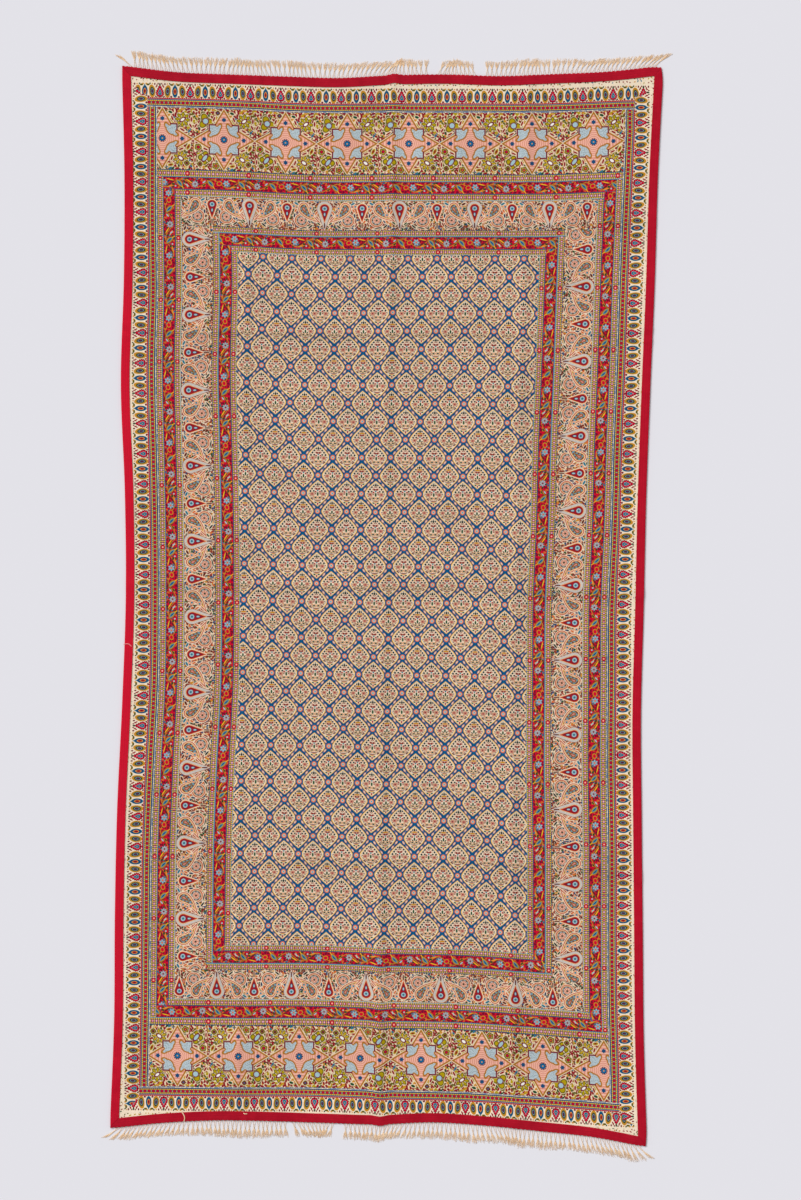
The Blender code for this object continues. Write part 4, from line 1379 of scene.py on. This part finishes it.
def print_places(x, y, column_strips, row_strips, bud_lines):
    """Each face's design, and its corners' places along and across the band in millimetres.

    A face belongs to the outermost band that reaches it, and where two meet in a corner
    the band along the end runs through, but the bud row is mitred. Along runs clockwise
    round the panel, and across runs inwards, but in the bud row outwards from its inner line.
    """
    levels = len(BANDS) + 1
    row_level = np.array([strip.level for strip in row_strips])[:, None]
    column_level = np.array([strip.level for strip in column_strips])[None, :]
    row_side = np.array([strip.side for strip in row_strips])[:, None]
    column_side = np.array([strip.side for strip in column_strips])[None, :]
    level = np.minimum(row_level, column_level)
    by_row = (row_level <= column_level) & (level < levels)
    field = (level == levels)[..., None]
    names = ["bud row"] + [band.design for band in BANDS] + ["field"]
    slots = np.array([DESIGNS.index(name) for name in names])[level]

    flat_x, flat_y = face_corners(x), face_corners(y)
    corner_x, corner_y = flat_x / MM, flat_y / MM
    row_side4, column_side4 = row_side[..., None], column_side[..., None]
    to_line = {name: np.interp(flat_y if name in UPRIGHT else flat_x, STATION_PLACES, line)
               for name, line in bud_lines.items()}
    from_end = np.where(row_side4 > 0, flat_y - to_line["top"], to_line["bottom"] - flat_y) / MM
    from_side = np.where(column_side4 > 0, flat_x - to_line["right"], to_line["left"] - flat_x) / MM
    bud_corner = (row_level == 0) & (column_level == 0)
    by_row = by_row & ~(bud_corner & (from_end.mean(axis=-1) < from_side.mean(axis=-1)))
    widths = np.array([0.0] + [band.side_width or band.end_width for band in BANDS] + [0.0])
    row_part = np.array([[s.start, s.start, s.stop, s.stop] for s in row_strips])[:, None, :]
    column_part = np.array([[s.start, s.stop, s.stop, s.start] for s in column_strips])[None]
    by_row4 = by_row[..., None]
    along = np.where(by_row4, row_side4 * corner_x, -column_side4 * corner_y)
    across = np.where(by_row4, row_part, column_part) * widths[level][..., None]
    across = np.where((level == 0)[..., None], np.where(by_row4, from_end, from_side), across)

    kinds = np.minimum(level, len(REPEATS) - 1)
    starts, pitches = (np.array([[getattr(side, part) for side in row] for row in REPEATS])
                       for part in ("start", "pitch"))
    side = np.where(by_row, np.where(row_side > 0, 0, 2), np.where(column_side > 0, 1, 3))
    stretch = np.array(NOMINAL)[kinds] / pitches[kinds, side]
    along = (along - starts[kinds, side][..., None]) * stretch[..., None]

    first_x, first_y = FIRST_MEDALLION
    lean_x = corner_x - first_x - COLUMN_LEAN * (corner_y - first_y)
    inside_columns = np.array([strip.side == 0 for strip in column_strips] + [False])
    row_y = y[:, inside_columns].mean(axis=1, keepdims=True) / MM - first_y
    row_y = face_corners(np.broadcast_to(row_y, y.shape))
    places = np.where(field, lean_x, along), np.where(field, row_y, across)
    return slots, np.stack(places, axis=-1)


def make_cloth(materials):
    """The printed cloth: a thin closed sheet on the solid's folds, its lines on the print's."""
    columns, column_strips, rows, row_strips, bud_lines = cloth_lines()
    x, y = crossings(columns, rows)
    across, up = panel_fractions(x - SHIFT_X, y - SHIFT_Y)
    inset = np.minimum(np.minimum(across, 1 - across) * WIDTH, np.minimum(up, 1 - up) * LENGTH)
    under = RIM_LIFT * np.clip((REST_INSET - inset) / (REST_INSET - RIM_INSET), 0, 1)
    under = under + fold_height(across, up)
    top = np.stack([x, y, under + CLOTH_THICKNESS], axis=-1)
    bottom = np.stack([x, y, under], axis=-1)
    slots, places = print_places(x, y, column_strips, row_strips, bud_lines)
    piece = closed_sheet("printed_cloth", top, bottom, slots, materials)
    mesh = piece.data
    # Where the painted shade along the creases falls
    marks = mesh.attributes.new("crease", "FLOAT", "POINT")
    marks.data.foreach_set("value", np.tile(crease_marks(across, up).ravel(), 2))

    fronts = slots.size
    corners = np.zeros((len(mesh.polygons), 4, 2))
    corners[:fronts] = places.reshape(-1, 4, 2)
    set_uv(mesh, "print", corners)

    bake = np.zeros((len(mesh.polygons), 4, 2))
    face = np.stack([face_corners(across), face_corners(up)], axis=-1).reshape(-1, 4, 2)
    bake[:fronts] = face * BAKED_FRONT.size + BAKED_FRONT.place
    bake[fronts:2 * fronts] = (face * BAKED_BACK.size + BAKED_BACK.place)[:, ::-1]
    square = np.array([[0, 0], [1, 0], [1, 1], [0, 1]])
    bake[2 * fronts:] = square * BAKED_RIM.size + BAKED_RIM.place
    set_uv(mesh, "OFBake", bake)
    return piece


def tubes(name, middles, radii, sides, material):
    """Closed tubes in one mesh. middles are (tube, point, 3) and radii are (tube, point).

    Round each point the ring lies in the plane of Z and of the level vector square to the
    tube's course. Two fans of faces close each tube's ends.
    """
    count, points = radii.shape
    course = np.gradient(middles, axis=1)
    level = np.stack([course[..., 1], -course[..., 0], np.zeros((count, points))], axis=-1)
    level /= np.maximum(np.linalg.norm(level, axis=-1, keepdims=True), 1e-9)
    angles = math.pi / 2 + np.arange(sides) * math.tau / sides
    spread = level[:, :, None, :] * np.cos(angles)[:, None]
    spread = spread + np.array([0.0, 0.0, 1.0]) * np.sin(angles)[:, None]
    rings = middles[:, :, None, :] + spread * radii[:, :, None, None]
    corner = np.arange(count * points * sides).reshape(count, points, sides)
    turn = np.roll(corner, -1, axis=2)
    walls = np.stack([corner[:, :-1], turn[:, :-1], turn[:, 1:], corner[:, 1:]], axis=-1)
    faces = walls.reshape(-1, 4).tolist()
    faces += corner[:, 0, ::-1].tolist() + corner[:, -1].tolist()
    return new_piece(name, rings.reshape(-1, 3).tolist(), faces, [material])


def make_fringe(end, rows, bare, material):
    """One end's fringe: tassels of two threads, a knot and a brush.

    A tassel's middle line runs straight out from the bound edge, and its sideways lean grows
    as the 1.3th power of the way out. Its two threads start apart and meet at the knot, and
    beyond it the brush's strands part again and wave.
    """
    chance = np.random.default_rng(FRINGE_SEED)
    out = 1 if end == "top" else -1
    roots = np.linspace(TASSEL_INSET / WIDTH, 1 - TASSEL_INSET / WIDTH, TASSELS_PER_END)
    table = [row.across for row in rows]
    length = np.interp(roots, table, [row.length for row in rows])
    lean = np.interp(roots, table, [row.lean for row in rows])
    length = length + chance.uniform(-TASSEL_JITTER, TASSEL_JITTER, len(roots))
    lean = lean + chance.uniform(-TASSEL_JITTER, TASSEL_JITTER, len(roots))
    kept = np.all([(roots < span.start) | (roots > span.stop) for span in bare], axis=0)
    roots, length, lean = roots[kept], length[kept, None], lean[kept, None]
    count = len(roots)
    root_x, root_y = panel_place(roots, np.full(count, 1.0 if end == "top" else 0.0))
    root_x = (root_x + SHIFT_X)[:, None]
    root_y = (root_y + SHIFT_Y + out * ROOT_OUT)[:, None]
    knot_at = (KNOT_AT + chance.uniform(-KNOT_JITTER, KNOT_JITTER, count))[:, None]

    parts = []
    neck = np.linspace(0.0, 1.0, THREAD_POINTS)[None, :] * knot_at
    for side in (-1, 1):
        apart = side * THREADS_START_APART * (1 - neck / knot_at) + side * THREADS_STAY_APART
        level = THREAD_HEIGHT - THREAD_SINKS * neck / knot_at
        parts.append((neck, apart, level, np.full(neck.shape, THREAD_RADIUS)))
    for strand in range(STRANDS):
        jitter = chance.uniform(-STRAND_LENGTH_JITTER, STRAND_LENGTH_JITTER, (count, 1))
        reach = 1.0 + jitter
        brush = knot_at + (reach - knot_at) * np.linspace(0.0, 1.0, STRAND_POINTS)[None, :]
        part = (brush - knot_at) / (reach - knot_at)
        aim = (strand - (STRANDS - 1) / 2) * STRAND_PITCH
        aim = aim + chance.normal(0, STRAND_JITTER, (count, 1))
        wave = np.sin(part * chance.uniform(*STRAND_WAVES, (count, 1)) + chance.uniform(0, 6.3))
        apart = aim * part ** STRAND_SPREAD + STRAND_WAVE * wave * part
        tip = chance.uniform(*STRAND_TIP_HEIGHTS, (count, 1))
        level = STRAND_HEIGHT + (tip - STRAND_HEIGHT) * part
        parts.append((brush, apart, level, STRAND_RADIUS - STRAND_THINS * part))

    def tassel_line(way, apart):
        return root_x + lean * way ** TASSEL_BEND + apart, root_y + out * length * way

    width = STRAND_POINTS
    middles, radii = [], []
    for way, apart, level, radius in parts:
        fill = width - way.shape[1]
        way, apart, level, radius = (np.pad(grid, ((0, 0), (0, fill)), mode="edge")
                                     for grid in (way, apart, level, radius))
        way = way + np.maximum(np.arange(width) - (width - 1 - fill), 0) * PAST_THE_END
        middles.append(np.stack([*tassel_line(way, apart), level], axis=-1))
        radii.append(radius)
    knot = knot_at + np.linspace(-KNOT_HALF_LENGTH, KNOT_HALF_LENGTH, width)[None, :]
    round_off = np.sqrt(1 - np.linspace(-ROUNDED_TO, ROUNDED_TO, width) ** 2)
    level = np.full(knot.shape, KNOT_HEIGHT)
    middles.append(np.stack([*tassel_line(knot, 0.0), level], axis=-1))
    radii.append(np.broadcast_to(KNOT_RADIUS * round_off, knot.shape))
    return tubes("fringe_threads_" + end, np.concatenate(middles), np.concatenate(radii),
                 STRAND_SIDES, material)


def make_loose_thread(thread, material):
    """One stray thread, a smooth line through its points, lying on top of the binding."""
    way = np.linspace(0, 1, LOOSE_POINTS)
    x = smooth_steps(thread.xs, way) * MM
    y = smooth_steps(thread.ys, way) * MM
    radius = thread.radius * MM * np.sqrt(1 - (2 * ROUNDED_TO * way - ROUNDED_TO) ** 8)
    lift = fold_height(*panel_fractions(x - SHIFT_X, y - SHIFT_Y))
    middles = np.stack([x, y, TAPE_TOP + thread.radius * MM + lift], axis=-1)
    return tubes(thread.name, middles[None], radius[None], LOOSE_SIDES, material)


def make_binding(side, material):
    """One run of the red tape, a U folded over the sheet's edge and mitred at both ends.

    The outer wall runs from the back leg round a half-round nose to the face leg, and the
    inner wall follows it one tape's thickness inside. Its height follows the creases. Along
    the ends of the cloth it stands a little further out, and its rim has small teeth.
    """
    half = 0.5 * TAPE_TOP
    reach = half - TAPE_THICKNESS
    nose = np.radians(np.linspace(-90, 90, NOSE_POINTS))
    outer = [(inset, 0.0) for inset in BACK_STEPS]
    outer += [(half * OUTER_BULGE * (1 - math.cos(a)), half + half * math.sin(a)) for a in nose]
    outer += [(inset, TAPE_TOP) for inset in FACE_STEPS]
    inner = [(inset, TAPE_THICKNESS) for inset in BACK_STEPS]
    inner += [(TAPE_THICKNESS + reach * INNER_BULGE * (1 - math.cos(a)), half + reach * math.sin(a))
              for a in nose]
    inner += [(inset, TAPE_TOP - TAPE_THICKNESS) for inset in FACE_STEPS]
    walls = []
    upright = side in UPRIGHT
    run_size, cross_size = (LENGTH, WIDTH) if upright else (WIDTH, LENGTH)
    stations = np.linspace(0, 1, int(run_size / (SIDE_STATION if upright else END_STATION)))
    tooth = 0.0 if upright else np.sin(stations * run_size / TOOTH_PITCH * math.tau)
    for profile in (outer, inner):
        profile = np.array(profile)
        if not upright:
            profile[:, 0] = profile[:, 0] * END_TAPE_WIDENING - END_TAPE_OUTWARD
        start = (np.maximum(profile[:, 0], 0.0) + MITRE_GAP) / run_size
        run = start[None, :] + (1 - 2 * start[None, :]) * stations[:, None]
        at_rim = np.clip(1 - profile[:, 0] / TOOTH_REACH, 0, 1)
        inset = profile[:, 0] - TOOTH_DEPTH * np.multiply.outer(tooth, at_rim)
        cross = np.broadcast_to(inset / cross_size, run.shape)
        level = np.broadcast_to(profile[:, 1], run.shape)
        if side in ("right", "top"):
            cross = 1 - cross
        across, up = (cross, run) if upright else (run, cross)
        x, y = panel_place(across, up)
        z = level + fold_height(across, up) * np.clip(profile[:, 1] / half, 0, 1)
        walls.append(np.stack([x + SHIFT_X, y + SHIFT_Y, z], axis=-1))
    outer_wall, inner_wall = walls
    if side in ("left", "top"):
        outer_wall, inner_wall = outer_wall[:, ::-1], inner_wall[:, ::-1]
    slots = np.zeros((outer_wall.shape[0] - 1, outer_wall.shape[1] - 1), dtype=int)
    piece = closed_sheet("tape_" + side, outer_wall, inner_wall, slots, [material])
    widths = np.array([point[0] for point in outer]) / MM
    if side in ("left", "top"):
        widths = widths[::-1]
    across_tape = np.broadcast_to(widths, outer_wall.shape[:2])
    along_tape = np.broadcast_to(stations[:, None] * run_size / MM, outer_wall.shape[:2])
    face = np.stack([face_corners(along_tape), face_corners(across_tape)], axis=-1)
    corners = np.zeros((len(piece.data.polygons), 4, 2))
    corners[:slots.size] = face.reshape(-1, 4, 2)
    set_uv(piece.data, "print", corners)
    return piece


def make_floor():
    """The plain pale surface that the panel lies on."""
    material = bpy.data.materials.new("pale floor")
    material.use_nodes = True
    entries = material.node_tree.nodes["Principled BSDF"].inputs
    for label, value in (("Base Color", FLOOR_PAINT), ("Roughness", 1.0),
                         ("Specular IOR Level", 0.0)):
        feed(material.node_tree, entries[label], value)
    corners = [(x * FLOOR_REACH, y * FLOOR_REACH, 0.0) for x, y in
               ((-1, -1), (1, -1), (1, 1), (-1, 1))]
    floor = new_piece("floor", corners, [(0, 1, 2, 3)], [material])


def make_light_and_camera():
    """Soft even studio light from high on the left, and a camera straight above."""
    scene = bpy.context.scene
    scene.world = bpy.data.worlds.new("studio")
    scene.world.use_nodes = True
    backdrop = scene.world.node_tree.nodes["Background"]
    backdrop.inputs["Color"].default_value = (1.0, 1.0, 1.0, 1.0)
    backdrop.inputs["Strength"].default_value = STUDIO_LIGHT
    lamp = bpy.data.lights.new("soft box", "SUN")
    lamp.energy = LAMP_POWER
    lamp.angle = math.radians(LAMP_SPREAD)
    key = bpy.data.objects.new("soft box", lamp)
    key.rotation_euler = [math.radians(degrees) for degrees in LAMP_TURN]
    scene.collection.objects.link(key)
    lens = bpy.data.cameras.new("camera")
    lens.lens = LENS_MM
    lens.sensor_fit = "VERTICAL"
    lens.sensor_height = SENSOR_MM
    camera = bpy.data.objects.new("camera", lens)
    view_height = PHOTO_ROWS * MM_PER_PIXEL * MM
    camera.location = (*VIEW_MIDDLE, view_height * lens.lens / lens.sensor_height)
    scene.collection.objects.link(camera)
    scene.camera = camera
    scene.view_settings.view_transform = "Standard"


def main():
    make_floor()
    make_light_and_camera()
    makers = {
        "field": field_design, "bud row": bud_row_design, "outer guard": outer_guard_design,
        "star panel": star_panel_design, "bead guard": bead_guard_design,
        "red border": red_border_design, "paisley border": paisley_border_design,
        "reverse": reverse_design,
    }
    cloth = make_cloth([makers[name]() for name in DESIGNS])
    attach(cloth, "root")
    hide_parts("cloth")
    # Each run's red is painted light and shade
    for side, (middle, corner) in TAPE_LIT_AND_SHADED_REDS.items():
        run = (LENGTH if side in UPRIGHT else WIDTH) / MM
        tape = make_binding(side, tape_material("red tape " + side, middle, corner, run))
        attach(tape, "root")
        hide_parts("binding_" + side)
    threads = thread_material("fringe cotton", FRINGE_COTTON)
    for end, rows, bare in (("top", TOP_TASSELS, BARE_TOP),
                            ("bottom", BOTTOM_TASSELS, BARE_BOTTOM)):
        fringe = make_fringe(end, rows, bare, threads)
        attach(fringe, "root")
        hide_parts("fringe_" + end)
    pink = thread_material("loose pink thread", LOOSE_PINK)
    for thread in LOOSE_THREADS:
        stray = make_loose_thread(thread, pink if thread.pink else threads)
        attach(stray, "root")


main()
